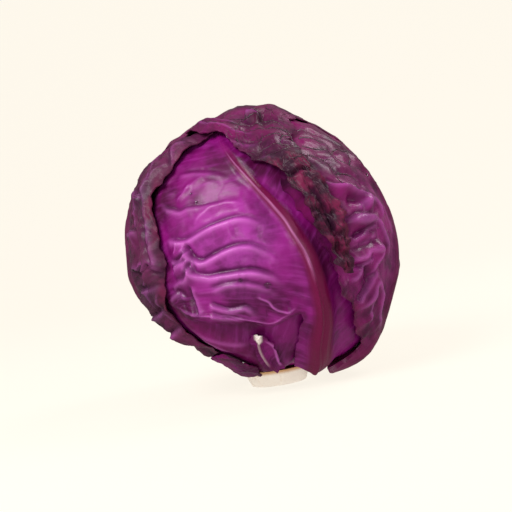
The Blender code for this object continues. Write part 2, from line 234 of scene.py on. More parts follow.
def cell_net(points, size, seed):
    """How far each point is from the borders of a net of cells about size across: 0 on them, 1 well inside."""
    rng = np.random.default_rng(seed)
    axes = [np.arange(low, high + size, size) for low, high in zip(points.min(axis=0), points.max(axis=0))]
    lattice = np.stack(np.meshgrid(*axes, indexing="ij"), -1)
    seeds = lattice.reshape(-1, 3) + rng.uniform(-0.45, 0.45, (lattice.size // 3, 3)) * size
    # Only the seeds near the leaf's own surface make cells on it
    radius = np.linalg.norm(points, axis=1).mean()
    seeds = seeds[np.abs(np.linalg.norm(seeds, axis=1) - radius) < 0.62 * size]
    first = np.full(len(points), np.inf)
    second = np.full(len(points), np.inf)
    for seed_point in seeds:
        apart = np.linalg.norm(points - seed_point, axis=1)
        second = np.minimum(second, np.maximum(apart, first))
        first = np.minimum(first, apart)
    return np.clip((second - first) / (0.6 * size), 0, 1)


def ball_radius(d):
    """Distance of the heart's surface from the middle of the head."""
    radius = np.full(len(d), HEART_RADIUS)
    for azimuth, latitude, spread, height in LUMPS:
        angle = np.degrees(np.arccos(np.clip(d @ direction(azimuth, latitude), -1, 1)))
        radius += height * np.exp(-((angle / spread) ** 2))
    return radius


def floor_radius(d):
    """Distance from the middle of the head to the plane that the head stands on."""
    down = np.maximum(-d[:, 2], 1e-6)
    return np.where(d[:, 2] < 0, HEAD_CENTRE[2] / down, np.inf)


def clear_of_stump(points):
    """Moves points that would be in the stump out to its side, so that a leaf's foot meets it."""
    flat = np.hypot(points[:, 0], points[:, 1])
    share = np.clip(points[:, 2] / STUMP_HEIGHT, 0, 1)
    side = STUMP_FOOT_RADIUS + (STUMP_NECK_RADIUS - STUMP_FOOT_RADIUS) * share + 2 * MATING_GAP
    low = points[:, 2] < STUMP_HEIGHT + 2 * MATING_GAP
    scale = np.where(low, np.maximum(1.0, side / np.maximum(flat, 1e-9)), 1.0)
    points[:, 0] *= scale
    points[:, 1] *= scale
    return points


@dataclass(eq=False)
class Leaf:
    """One wrapper leaf. Heights and sizes are in metres, and places along it run from 0 at the stump to 1."""

    name: str
    node: str  # the part's node that it stands for
    rows: list  # left margin, midrib and right margin, from the stump to the tip
    grid: tuple  # rows, columns left of the midrib, and columns right of it
    rib: tuple  # foot width, foot height, tip width, tip height
    pillows: tuple = (8, 0.0012)  # how many soft swells lie between the side veins, and their height
    curl: tuple = ((1.0,), (1.0,))  # how much the left and the right margin stand off, along the leaf
    pleats: tuple = ()
    ridges: tuple = ()
    ragged: float = 0.0012  # how far the outline wanders in and out
    dust: float = 0.3  # share of grey wax bloom
    dry: tuple = (2.0, 1.0)  # where it starts to be shrivelled, and over what length
    blister: float = 0.0005  # height of the small blisters
    veins: tuple = ()  # veins drawn one by one
    net: int = 0  # side veins worked out on each side of the midrib
    keel: float = 0.0  # how sharp the midrib's crest is, and how much painted highlight lies along it
    rib_mark: float = 0.35  # how much of the midrib's own colour shows
    pinch: float = 0.0  # height of the folds pinched into the margin
    crumple: float = 0.0  # height of the crumpled folds
    puff: tuple = (0.012, 0.0)  # size and height of the puffed cells of the blade
    withered: float = 0.0  # how much of the margin is shrivelled
    tone: str = "plum"  # which of the colours, plum or purple
    pale: tuple = (0, 0, 0)  # azimuth, latitude and spread of a lighter area, in degrees: partly the blade's own paler colour and partly painted sheen
    torn: float = 0.0  # how much pale flesh shows at the torn tip

    def __post_init__(self):
        table = np.array(self.rows, float)
        self.left = direction(table[:, 0], table[:, 1])
        self.midrib = direction(table[:, 2], table[:, 3])
        self.right = direction(table[:, 4], table[:, 5])
        places = np.linspace(0, len(self.rows) - 1, OUTLINE_STEPS + 1)
        self.spine = spline(self.midrib, places)
        left, right = spline(self.left, places), spline(self.right, places)
        foot = unit(np.linspace(right[0], left[0], 9))[1:-1]
        tip = unit(np.linspace(left[-1], right[-1], 9))[1:-1]
        self.margin = np.concatenate([left, tip, right[::-1]])
        self.outline = np.concatenate([self.margin, foot, left[:1]])
        self.middle = unit(self.outline.mean(axis=0))
        self.seed = sum(ord(letter) for letter in self.name)

    def inside(self, d):
        """True where a direction is within the outline, by a stereographic chart round the leaf's middle."""
        east = unit(np.cross([0.3, 0.2, 1.0], self.middle))
        north = np.cross(self.middle, east)
        axes = np.stack([east, north, self.middle], axis=1)

        def chart(v):
            flat = v @ axes
            return flat[:, :2] / np.maximum(1 + flat[:, 2:], 1e-6)

        p, ring = chart(d), chart(self.outline)
        crossings = np.zeros(len(d), int)
        for a, b in zip(ring[:-1], ring[1:]):
            spans = (a[1] > p[:, 1]) != (b[1] > p[:, 1])
            rise = b[1] - a[1] if abs(b[1] - a[1]) > 1e-12 else 1e-12
            crossings += spans & (p[:, 0] < a[0] + (p[:, 1] - a[1]) * (b[0] - a[0]) / rise)
        return crossings % 2 == 1

    def cover(self, d, *rules):
        """For each rule (rest, reach): 1 over the leaf and for rest beyond it, then falling to 0 over reach."""
        apart, _, _ = nearest(d, self.outline)
        within = self.inside(d)
        return [np.where(within, 1.0, 1 - smooth((apart - rest) / reach)) for rest, reach in rules]

    def rib_size(self, along, widen=1.0):
        """(half width, height) of the midrib at a share of its length."""
        foot_width, foot_height, tip_width, tip_height = self.rib
        taper = np.clip(1 - along, 0, 1) ** 1.4
        width = tip_width + (foot_width - tip_width) * taper
        return width * widen, tip_height + (foot_height - tip_height) * taper

    def stacked(self, d):
        """What this leaf adds to the height of whatever lies over it."""
        apart, along, _ = nearest(d, self.spine)
        width, height = self.rib_size(along, SPREAD)
        thick = LEAF_GAP + BLADE + height * bump(apart / width)
        if self.pillows[0]:
            thick += self.pillows[1] * smooth((apart - 0.5 * width) / BLADE_FADE)
        return self.cover(d, (DRAPE_REST, DRAPE_REACH))[0] * thick


def drawn_line(points, steps):
    """A smooth line through points given as (azimuth, latitude) in degrees."""
    return spline(direction(*np.array(points, float).T), np.linspace(0, len(points) - 1, steps * len(points)))


def strokes(leaf, d):
    """(height, painted crease shade, painted crest highlight) of a leaf's pleats, ridges and drawn veins at
    directions d.
    """
    height = np.zeros(len(d))
    crease = np.zeros(len(d))
    crest = np.zeros(len(d))

    def reach_of(line, reach):
        """Which directions are near enough to a line for it to matter."""
        middle = unit(line.mean(axis=0))
        spread = np.arccos(np.clip(line @ middle, -1, 1)).max() + reach / HEART_RADIUS
        return np.nonzero(d @ middle > math.cos(min(spread, math.pi)))[0]

    for points, rise, notch, fall, steep, (fade_in, fade_out) in leaf.pleats:
        line = drawn_line(points, STROKE_STEPS)
        at = reach_of(line, 3 * fall)
        _, along, s = nearest(d[at], line)
        ends = smooth(along / fade_in) * smooth((1 - along) / fade_out)
        ends = ends * (0.85 + 0.45 * noise(d[at] * HEART_RADIUS, 0.012, 31))
        up = smooth(s / steep) * np.exp(-np.clip(s - steep, 0, None) / fall)
        groove = np.exp(-((s / NOTCH_WIDTH) ** 2))
        height[at] += ends * (rise * up - notch * groove)
        # Painted shade along the bottom of the crease, and a painted highlight along the crest
        crease[at] = np.maximum(crease[at], ends * groove * min(1.0, notch / NOTCH_DARK))
        lit = np.exp(-(((s - steep) / CREST_WIDTH) ** 2)) * ends * min(1.0, rise / CREST_LIT)
        crest[at] = np.maximum(crest[at], lit)
    for points, rise, width in leaf.ridges:
        line = drawn_line(points, STROKE_STEPS)
        at = reach_of(line, width)
        apart, along, _ = nearest(d[at], line)
        ends = smooth(along / STROKE_END) * smooth((1 - along) / STROKE_END)
        tent = np.clip(1 - apart / width, 0, 1) ** 1.6
        height[at] += rise * ends * (0.3 * bump(apart / width) + 0.7 * tent)
        # Painted highlight along the ridge's crest
        lit = ends * bump(apart / (0.3 * width)) * min(1.0, max(rise, 0) / RIDGE_LIT)
        crest[at] = np.maximum(crest[at], lit)
        # A ridge below zero is a hollow, with painted shade that is darker the deeper and the narrower it is
        if rise < 0:
            dark = min(0.7, -rise / 0.0030) * min(1.0, 0.004 / width)
            crease[at] = np.maximum(crease[at], dark * ends * bump(apart / (0.7 * width)))
    for points in leaf.veins:
        line = drawn_line(points, STROKE_STEPS)
        at = reach_of(line, VALLEY_WIDTH)
        apart, _, _ = nearest(d[at], line)
        height[at] -= VALLEY_DEPTH * bump(apart / VALLEY_WIDTH)
    return height, crease, crest


def across_places(left, right):
    """Each column's place across a leaf, from -1 at the left margin to 1, a little closer at the margins."""
    shares = [1 - (1 - np.arange(half + 1) / half) ** 1.12 for half in (left, right)]
    return np.concatenate([-shares[0][::-1], shares[1][1:]])


def grid_directions(leaf, rows, across, jag=True):
    """Directions of a leaf's grid, by rows from the foot to the tip."""
    places = np.linspace(0, len(leaf.midrib) - 1, rows + 1)
    left, middle, right = (spline(c, places) for c in (leaf.left, leaf.midrib, leaf.right))
    d = np.where(
        across[None, :, None] < 0,
        middle[:, None] + (left - middle)[:, None] * -across[None, :, None],
        middle[:, None] + (right - middle)[:, None] * across[None, :, None],
    )
    if jag and leaf.ragged:
        for side, edge in ((-1, left), (1, right)):
            at = edge * HEART_RADIUS
            width = np.linalg.norm(edge - middle, axis=1) * HEART_RADIUS
            wave = noise(at, 0.0075, leaf.seed + side) + 0.7 * noise(at, 0.0028, leaf.seed + 7 * side)
            stretch = leaf.ragged * wave / np.maximum(width, 0.004)
            foot = smooth(np.linspace(0, 1, rows + 1) / 0.15)
            reach = np.where(across * side > 0, np.abs(across) ** 3, 0.0)
            centre = middle[:, None]
            d += (edge[:, None] - centre) * (stretch * foot)[:, None, None] * reach[None, :, None]
    return unit(d)


def leaf_surface(leaf, below, above, sizes):
    """Works out a leaf: its lower and upper points on a grid, and what its finish needs at each point."""
    rows, columns = leaf.grid[0], sum(leaf.grid[1:])
    across = across_places(*leaf.grid[1:])
    flat = grid_directions(leaf, rows, across).reshape(-1, 3)
    # The height of what is beneath, and how free the leaf is of those above, from a coarser grid
    coarse_across = across_places(COARSE_COLUMNS // 2, COARSE_COLUMNS // 2)
    coarse = grid_directions(leaf, COARSE_ROWS, coarse_across, jag=False).reshape(-1, 3)
    stack = ball_radius(coarse)
    for other in below:
        stack = stack + other.stacked(coarse)
    free, loose = np.ones(len(coarse)), np.ones(len(coarse))
    for other in above:
        near, far = other.cover(coarse, (RELIEF_REST, RELIEF_REACH), (0.5 * LIFT_CLEAR, DRAPE_REACH))
        free, loose = free * (1 - near), loose * (1 - far)
    row_weights = finer(COARSE_ROWS + 1, np.linspace(0, COARSE_ROWS, rows + 1))
    column_weights = finer(COARSE_COLUMNS + 1, np.interp(across, coarse_across, np.arange(COARSE_COLUMNS + 1)))

    def spread(values):
        return (row_weights @ values.reshape(COARSE_ROWS + 1, -1) @ column_weights.T).reshape(-1)

    stack, free, loose = spread(stack), np.clip(spread(free), 0, 1), np.clip(spread(loose), 0, 1)
    at = flat * HEART_RADIUS
    rib_apart, along, _ = nearest(flat, leaf.spine)
    side = np.sign(np.tile(across, rows + 1))
    rib_s = rib_apart * side
    margin_apart, margin_along, _ = nearest(flat, leaf.margin)
    width, height = leaf.rib_size(along)
    # The midrib: a broad swell, a sharper crest on one side of it, and fine grooves along it
    rib = bump(rib_s / width)
    keel = bump((rib_s + 0.20 * width) / (0.16 * width))
    grooves = np.cos(2 * np.pi * rib_s / GROOVE_SPACING + 2 * noise(at, 0.02, 5)) * rib * smooth(height / 0.003)
    spar = height * ((1 - 0.16 * leaf.keel) * rib + 0.16 * leaf.keel * keel) + GROOVE_DEPTH * grooves
    # Pillows between the side veins
    count, depth = leaf.pillows
    bend = 0.6 * noise(at, 0.030, leaf.seed)
    wave = np.cos(2 * np.pi * (along * count - rib_apart / VEIN_SLANT + bend))
    clear = smooth((rib_apart - 0.5 * width) / BLADE_FADE)
    relief = depth * (0.5 + 0.5 * wave) * clear * (0.3 + 0.7 * free)
    # Pleats, ridges and small blisters
    pleated, crease, crest = strokes(leaf, flat)
    calm = 1 - 0.8 * rib
    blister = noise(at, 0.013, leaf.seed + 1) + 0.35 * noise(at, 0.0055, leaf.seed + 2)
    relief += free * (sizes.pucker_share * pleated + leaf.blister * calm * blister)
    # Crumpled folds in three sizes
    folds = ridged(at, 0.021, leaf.seed + 8) + 0.5 * ridged(at, 0.009, leaf.seed + 9)
    folds += 0.40 * ridged(at, 0.0042, leaf.seed + 10)
    relief += leaf.crumple * free * calm * folds
    # Puffed cells with the net of fine veins in the valleys between them
    puff_size, puff_height = leaf.puff
    wander = np.stack([noise(at, 0.006, k) for k in (21, 22, 23)], 1)
    net = cell_net(at + 0.0015 * wander, puff_size, leaf.seed)
    relief += puff_height * free * calm * (smooth(net / 0.55) - 0.6)
    # A free margin stands off, waves, and turns up at its very edge
    length = np.linalg.norm(np.diff(leaf.margin, axis=0), axis=1).sum() * HEART_RADIUS
    waves = max(1, round(length / FRILL_WAVE))
    frill = 1 - FRILL_SHARE + FRILL_SHARE * np.sin(2 * np.pi * waves * margin_along)
    foot = smooth(along / FOOT_SHARE)
    curls = [np.interp(along, np.linspace(0, 1, len(values)), values) for values in leaf.curl]
    curl = np.where(side < 0, curls[0], curls[1])
    lift = curl * MARGIN_CURL * frill * smooth(1 - margin_apart / MARGIN_WIDTH) * foot * loose
    flutter = noise(at, 0.009, leaf.seed + 3)
    # The darker line along a margin: partly the margin's own colour and partly painted shade, which grows as the
    # margin stands off
    edge = smooth(1 - margin_apart / EDGE_WIDTH) * foot * (0.25 + 0.75 * np.minimum(curl, 1))
    lift += curl * sizes.flutter * flutter * smooth(1 - margin_apart / 0.010) * foot * free
    # Folds pinched into a shrivelled margin run straight in from it
    from_margin = np.stack([margin_along * length, 0.30 * margin_apart, 0.2 * at[:, 0]], axis=1)
    pinched = ridged(from_margin, 0.0085, leaf.seed + 6) + 0.4 * ridged(from_margin, 0.0036, leaf.seed + 7)
    pinched *= (0.3 + 0.7 * np.minimum(curl, 1)) * smooth(1 - margin_apart / 0.022)
    lift += leaf.pinch * pinched * foot * free
    # A margin that doesn't curl is pressed flat, and its relief fades
    press = np.clip(1 - curl, 0, 1) * smooth(1 - margin_apart / PRESS_WIDTH)
    lift -= (LEAF_GAP + BLADE - MATING_GAP - sizes.margin_blade) * press
    relief *= 1 - 0.85 * press
    # A shrivelled strip is creased lengthwise, more than across
    dry_from, dry_over = leaf.dry
    dry = smooth((along - dry_from) / dry_over)
    strip = np.stack([1.5 * rib_s, 0.45 * along * length / 2, 0.3 * at[:, 2]], axis=1)
    crumple = ridged(strip, 0.0062, leaf.seed + 4) + 0.6 * ridged(at, 0.0050, leaf.seed + 5)
    lift += dry * STRIP_RELIEF * crumple * free
    # The blade, thinner towards its margin, over what is beneath it and above the floor
    base = stack + LEAF_GAP + lift
    blade = sizes.margin_blade + (BLADE - sizes.margin_blade) * smooth(margin_apart / 0.009)
    sheet = np.maximum(base + BLADE + relief, stack + MATING_GAP + blade)
    upper = np.minimum(sheet + spar, floor_radius(flat))
    under = np.minimum(np.maximum(sheet - blade, stack + MATING_GAP), upper - sizes.margin_blade)
    shape = (rows + 1, columns + 1)
    lower_points = clear_of_stump(HEAD_CENTRE + flat * under[:, None]).reshape(*shape, 3)
    leaf.upper = clear_of_stump(HEAD_CENTRE + flat * upper[:, None]).reshape(*shape, 3)
    leaf.across = across
    leaf.free = free.reshape(shape)
    # What the finish reads. The crest and keel marks place painted highlights, the lighter area is partly painted
    # sheen, the crease mark places painted shade, and the edge mark is partly painted shade.
    patchy = 0.5 + 0.5 * noise(at, 0.008, leaf.seed + 12)
    withered = leaf.withered * smooth(1.2 - margin_apart / 0.006 - patchy) * foot * free
    burgundy = smooth((0.66 * width - np.abs(rib_s)) / (0.35 * width)) * smooth((height - 0.0008) / 0.0016)
    pale_azimuth, pale_latitude, pale_spread = leaf.pale
    from_pale = np.degrees(np.arccos(np.clip(flat @ direction(pale_azimuth, pale_latitude), -1, 1)))
    torn_tip = smooth((along - 0.82) / 0.08) * smooth(1.4 - rib_apart / 0.0020)
    torn_strings = 0.26 * smooth((along - 0.25) / 0.20) * smooth(1.5 - rib_apart / 0.0007)
    marks = {
        "crease": np.clip(crease * free, 0, 1),
        "crest": np.clip(crest * free, 0, 1),
        "rib": leaf.rib_mark * burgundy,
        "keel": leaf.keel * keel * smooth((along - 0.36) / 0.10) * smooth((0.90 - along) / 0.15),
        "net": net,
        "edge": edge,
        "dry": np.maximum(dry, withered),
        "pale": bump(from_pale / max(pale_spread, 0.1)),
        "flesh": leaf.torn * np.maximum(torn_tip, torn_strings),
    }
    phase = along * FIBRE_TURNS - rib_apart / VEIN_SLANT
    vein_place = np.stack([phase * FIBRE_SCALE, rib_s, along * 0.5 * length], axis=1)
    return lower_points, leaf.upper, marks, vein_place


def add_marks(mesh, kind, marks):
    """Writes numbers (kind FLOAT) or vectors (kind FLOAT_VECTOR) onto a mesh's points, one attribute a key."""
    for key, values in marks.items():
        attribute = mesh.attributes.new(key, kind, "POINT")
        values = np.asarray(values, np.float32).ravel()
        attribute.data.foreach_set("value" if kind == "FLOAT" else "vector", values)


def link_mesh(name, points, faces, material, marks=None, vector_marks=None, sharp=60):
    """Makes a smooth object from points and faces, creased where faces meet at more than sharp degrees."""
    mesh = bpy.data.meshes.new(name)
    mesh.from_pydata([tuple(p) for p in points], [], [tuple(f) for f in faces])
    mesh.update()
    mesh.shade_smooth()
    mesh.set_sharp_from_angle(angle=math.radians(sharp))
    add_marks(mesh, "FLOAT", marks or {})
    add_marks(mesh, "FLOAT_VECTOR", vector_marks or {})
    mesh.materials.append(material)
    made = bpy.data.objects.new(name, mesh)
    bpy.context.scene.collection.objects.link(made)
    return made


def leaf_piece(leaf, lower, upper, marks, vein_place, material):
    """A closed shell. Its hidden face has half as many rows and columns as the face that shows."""

    def quads(index, outwards):
        a, b, c, e = index[:-1, :-1], index[:-1, 1:], index[1:, 1:], index[1:, :-1]
        return np.stack([a, b, c, e] if outwards else [a, e, c, b], -1).reshape(-1, 4)

    def ring(index):
        """The grid's border, all the way round."""
        return np.concatenate([index[0], index[1:, -1], index[-1, -2::-1], index[-2:0:-1, 0]])

    shape = upper.shape[:2]
    under_points = lower[::2, ::2]
    under = np.arange(under_points[..., 0].size).reshape(under_points.shape[:2])
    over = np.arange(shape[0] * shape[1]).reshape(shape) + under.size
    low, high = ring(under), ring(over)
    rim = np.stack([low, np.roll(low, -1), np.roll(high[::2], -1), high[1::2], high[::2]], -1)
    faces = quads(under, False).tolist() + quads(over, True).tolist() + rim.tolist()
    points = np.concatenate([under_points.reshape(-1, 3), upper.reshape(-1, 3)])

    def both(values):
        table = values.reshape(*shape, -1)
        return np.concatenate([table[::2, ::2].reshape(-1, table.shape[2]), table.reshape(-1, table.shape[2])])

    marks = {key: both(values)[:, 0] for key, values in marks.items()}
    return link_mesh(leaf.name, points, faces, material, marks, {"vein_place": both(vein_place)})


def hold(piece, node):
    """Ties a piece to the part's body and hides the part's node that it stands for."""
    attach(piece, BODY)
    if node:
        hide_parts(node)
    return piece


# Rows of each leaf: left margin, midrib, right margin, as azimuth and latitude
LOWER_LEFT = [
    (-40, -65, -9, -59, 22, -62),
    (-46, -59, -12, -56, 24, -57),
    (-52, -52, -16, -51, 24, -50),
    (-58, -42, -24, -42, 24, -38),
    (-62, -31, -35, -31, 20, -22),
    (-64, -18, -44, -18, 12, -4),
    (-65, 2, -50, 2, -2, 14),
    (-62, 24, -50, 25, -6, 32),
    (-58, 46, -44, 46, -12, 50),
    (-42, 62, -34, 62, -18, 60),
]
# The front leaf's left margin runs up beside the midrib, turns at the tip of a lobe and follows the lobe's edge
FRONT = [
    (12, -61, 36, -64, 75, -67),
    (11, -54, 30, -55, 72, -56),
    (12, -45, 25, -44, 66, -43),
    (13, -36, 24, -34, 60, -30),
    (14, -27.5, 22.5, -24, 56, -18),
    (5, -30.5, 21, -16, 54, -8),
    (-3, -33, 19.5, -9, 52, -1),
    (-11, -29.5, 18, -3, 50, 6),
    (-24, -26, 16, 2, 48, 11),
    (-38, -20.5, 14, 7, 45, 17),
    (-46, -12, 12, 12, 41, 23),
    (-49, -1, 9, 17, 37, 29),
    (-51, 12, 6, 22, 33, 34),
    (-53, 28, 1, 29, 28, 40),
    (-50, 43, -7, 40, 13, 50),
    (-40, 56, -15, 52, -4, 60),
    (-30, 64, -22, 62, -14, 66),
]
BACK = [
    (-188, -70, -150, -72, -112, -70),
    (-192, -52, -150, -54, -108, -52),
    (-192, -30, -150, -32, -108, -30),
    (-200, -6, -150, -8, -100, -6),
    (-200, 18, -149, 18, -98, 18),
    (-192, 40, -147, 44, -103, 42),
    (-172, 52, -146, 57, -120, 52),
    (-162, 57, -148, 61, -134, 58),
]
LEFT = [
    (-108, -70, -85, -72, -64, -69),
    (-120, -55, -88, -57, -52, -53),
    (-130, -40, -92, -42, -42, -39),
    (-136, -25, -95, -27, -50, -25),
    (-140, -10, -97, -12, -46, -13),
    (-141, 5, -98, 3, -42, -2),
    (-140, 20, -95, 18, -44, 13),
    (-136, 35, -92, 33, -48, 26),
    (-128, 48, -85, 46, -41, 40),
    (-112, 60, -70, 58, -33, 51),
    (-90, 68, -58, 67, -22, 58),
]
REMNANT = [
    (-62, -69, -41, -70, -22, -67),
    (-66, -62, -41, -62, -17, -60),
    (-60, -54, -37, -53, -15, -52),
    (-48, -48, -33, -46, -20, -48),
    (-42, -45, -32, -43, -25, -45),
]
RIGHT = [
    (60, -68, 76, -69, 106, -69),
    (66, -58, 80, -57, 108, -56),
    (60, -49, 80, -44, 110, -42),
    (47, -39, 80, -30, 116, -28),
    (39, -29, 81, -16, 120, -14),
    (31, -20, 81, -3, 123, 0),
    (29, -12, 81, 3, 124, 7),
    (27, -5, 80, 9, 124, 14),
    (22, 8, 78, 21, 122, 28),
    (16, 20, 74, 33, 117, 41),
    (15, 32, 68, 45, 109, 54),
    (20, 46, 60, 56, 98, 64),
    (34, 58, 54, 67, 80, 72),
]
TOP = [
    (124, -70, 148, -72, 168, -70),
    (118, -52, 150, -54, 184, -52),
    (108, -30, 149, -32, 194, -30),
    (101, -8, 147, -8, 201, -6),
    (98, 12, 145, 16, 208, 18),
    (96, 32, 140, 40, 222, 34),
    (99, 47, 128, 62, 247, 46),
    (90, 61, 80, 78, 284, 57),
    (60, 64, 20, 74, 322, 59),
    (40, 58, 14, 62, 345, 54),
    (32, 50, 16, 50, 356, 47),
    (28, 40, 18, 40, 363, 40),
    (28, 30, 21, 30, 371, 33),
    (30, 20, 25, 19, 378, 19),
    (34, 9, 27, 9, 380, 9),
    (34, -1, 29, -1, 385, 0),
    (34, -7, 31, -7, 387, -7),
    (35, -13, 33, -13, 390, -12),
]
STUB = [
    (-7, -56, -3, -56, 3, -56),
    (-9, -52, -5, -52, 2, -52),
    (-11, -47, -8, -47, 0, -47),
    (-12, -42, -9.5, -42, -2, -42),
    (-13, -38, -9, -38, -4, -38),
    (-12, -35, -8.5, -35, -6, -35),
]


def pleat(points, crest, notch=0.0006, fall=0.010, steep=0.0026, ends=(0.10, 0.30)):
    """A pleat: its line, how high and deep it is, how far it falls and rises, and where its ends fade."""
    return points, crest, notch, fall, steep, ends


# Pleats, as above, and ridges, as (line, height, half width). Lines are in azimuth and latitude.
FRONT_PLEATS = [
    pleat([(-48, 27), (-42, 24), (-38, 23), (-34, 22), (-30, 23), (-25, 23), (-19, 23), (-11, 23), (-2, 21)],
          0.0012, 0.0006, 0.014, 0.0022, (0.03, 0.55)),
    pleat([(-48, 18), (-43, 12), (-39, 11), (-34, 10), (-31, 10), (-28, 11), (-23, 13), (-16, 15), (-7, 16),
           (1, 13), (8, 7)], 0.0026, 0.0008, 0.013, 0.0026, (0.03, 0.42)),
    pleat([(-31, 8), (-29, 4), (-27, 2), (-24, 1), (-21, 2), (-15, 4), (-9, 5), (-3, 4), (3, 0), (9, -6)],
          0.0028, 0.0010, 0.013, 0.0026, (0.05, 0.42)),
    pleat([(-30, 1), (-28, -3), (-23, -5), (-17, -5), (-9, -5), (-3, -6), (4, -10), (10, -16)],
          0.0027, 0.0010, 0.012, 0.0026, (0.05, 0.42)),
    pleat([(-25, -16), (-18, -20), (-12, -20), (-9, -21), (-4, -27)], 0.0018, 0.0006, 0.004, 0.0018),
    pleat([(-25, -20), (-20, -23), (-16, -24), (-11, -25)], 0.0015, 0.0005, 0.004, 0.0016),
    pleat([(-24, -11), (-16, -9), (-8, -10), (0, -14), (6, -19)], 0.0012, 0.0004, 0.006, 0.0022),
    pleat([(-45, 4), (-42, 3), (-38, 2), (-35, 2), (-32, 4), (-30, 6)], 0.0020, 0.0012, 0.005, 0.0018, (0.1, 0.1)),
    pleat([(-41, -3), (-37, 0), (-34, 1), (-29, 2)], 0.0020, 0.0006, 0.006, 0.0016, (0.1, 0.15)),
    pleat([(-42, -8), (-37, -6), (-33, -5), (-30, -1), (-28, 2)], 0.0018, 0.0010, 0.006, 0.0018, (0.1, 0.15)),
    pleat([(-30, -22), (-31, -18), (-32, -13), (-31, -8)], 0.0014, 0.0012, 0.006, 0.0016, (0.2, 0.2)),
    pleat([(-45, -14), (-41, -11), (-37, -11), (-34, -14)], 0.0014, 0.0006, 0.005, 0.0016, (0.2, 0.2)),
    pleat([(-46, 40), (-35, 39), (-29, 39), (-17, 37), (-9, 34)], 0.0007, 0.0004, 0.012, 0.0030, (0.1, 0.4)),
    pleat([(-50, 34), (-44, 31), (-38, 31)], 0.0008, 0.0005, 0.006, 0.0020),
]
LOWER_LEFT_RIDGES = [
    ([(-50, -24), (-40, -33), (-30, -40), (-18, -46), (-8, -50)], 0.0020, 0.0090),
    ([(-40, -30), (-28, -36), (-16, -40), (-6, -42)], 0.0012, 0.0060),
    ([(-12, -55), (0, -53), (10, -56), (22, -60)], 0.0018, 0.0040),
]
STUB_RIDGES = [
    ([(-6, -37), (-2, -43), (-1, -49), (1, -55)], 0.0024, 0.0040),
]
FRONT_RIDGES = [
    ([(-42, -15), (-38, -18), (-28, -21), (-18, -23.5), (-9, -27), (-2, -30), (5, -28), (11, -25)],
     0.0016, 0.0034),
    ([(-27, 14), (-25, 17), (-22, 19), (-19, 21), (-12, 22), (-4, 20)], 0.0011, 0.0045),
    ([(-34, 29), (-28, 33), (-22, 36)], 0.0006, 0.0040),
    ([(-37, 25), (-33, 29), (-30, 33)], 0.0009, 0.0030),
    ([(-31, 8), (-29, 4), (-28, 1), (-27, -4)], -0.0024, 0.0034),
    ([(-37, 10), (-35, 8), (-36, 5), (-38, 4)], 0.0014, 0.0026),
    ([(-44, 8), (-41, 7), (-38, 8)], 0.0010, 0.0028),
    ([(-6, -17), (-1, -20), (1, -23), (4, -25), (8, -26), (11, -24)], 0.0018, 0.0034),
    ([(9, -27), (8, -24), (8, -21)], -0.0010, 0.0022),
    ([(-38, -8), (-38, -12), (-36, -17), (-33, -21)], -0.0014, 0.0030),
    ([(-31, -12), (-22, -12), (-15, -11), (-8, -12)], 0.0006, 0.0030),
    ([(-12, 11), (-5, 11), (2, 8)], -0.0010, 0.0090),
    ([(-12, -1), (-4, -1), (4, -5)], -0.0010, 0.0080),
    ([(-14, -15), (-4, -16), (4, -19)], -0.0012, 0.0080),
]
RIGHT_PLEATS = [
    pleat([(33, 26), (38, 23), (43, 21), (49, 18), (56, 16), (62, 17)], 0.0034, 0.0016, 0.006, 0.0020,
          (0.1, 0.2)),
    pleat([(34, 12), (38, 8), (44, 9), (50, 8), (58, 7)], 0.0024, 0.0012, 0.006, 0.0020, (0.1, 0.2)),
    pleat([(33, 2), (38, 0), (43, 1), (50, 3), (56, 4)], 0.0018, 0.0012, 0.005, 0.0020, (0.1, 0.2)),
    pleat([(56, -1), (50, -4), (44, -5), (38, -5), (34, -5)], 0.0014, 0.0008, 0.006, 0.0020, (0.2, 0.2)),
    pleat([(41, -27), (45, -23), (49, -18), (52, -14)], 0.0028, 0.0016, 0.005, 0.0018, (0.1, 0.2)),
    pleat([(33, -12), (38, -12), (44, -11), (50, -8)], 0.0018, 0.0012, 0.005, 0.0018, (0.1, 0.2)),
    pleat([(70, 22), (78, 10), (82, -6)], 0.0010, 0.0000, 0.010, 0.0070),
    pleat([(90, 20), (100, 12), (114, 10)], 0.0011, 0.0000, 0.012, 0.0080),
    pleat([(84, -10), (98, -16), (114, -16)], 0.0012, 0.0000, 0.012, 0.0080),
    pleat([(84, -34), (96, -36), (108, -34)], 0.0011, 0.0000, 0.010, 0.0080),
]
RIGHT_RIDGES = [
    ([(36, 23), (42, 20), (48, 18), (53, 15), (52, 13), (49, 12), (43, 9)], 0.0034, 0.0085),
    ([(46, 10), (56, 13), (63, 13), (66, 9), (64, 2)], 0.0032, 0.0090),
    ([(34, 10), (36, 7), (41, 6), (47, 5), (52, 5), (59, 4), (62, 0), (65, -5), (70, -14)], 0.0036, 0.0090),
    ([(34, 3), (34, -1), (35, -5), (34, -9)], 0.0022, 0.0060),
    ([(33, -8), (38, -9), (44, -9), (48, -7), (58, -8)], 0.0034, 0.0080),
    ([(49, -6), (53, -6), (56, -8), (55, -10), (51, -14), (49, -19)], 0.0030, 0.0075),
    ([(36, -18), (40, -16), (44, -12), (49, -8)], 0.0026, 0.0070),
    ([(42, -32), (50, -28), (54, -21), (60, -25), (64, -34), (76, -44)], 0.0030, 0.0085),
    ([(52, -22), (54, -32), (60, -40)], 0.0020, 0.0070),
    ([(40, 16), (46, 14), (50, 9)], -0.0030, 0.0050),
    ([(38, 1), (46, 1), (54, 0)], -0.0030, 0.0055),
    ([(40, -4), (46, -3), (52, -3)], -0.0020, 0.0035),
    ([(36, -12), (41, -12), (46, -14), (47, -20)], -0.0026, 0.0045),
    ([(57, 10), (58, 8), (57, 0)], -0.0022, 0.0050),
    ([(57, -12), (59, -18), (64, -26)], -0.0020, 0.0060),
]
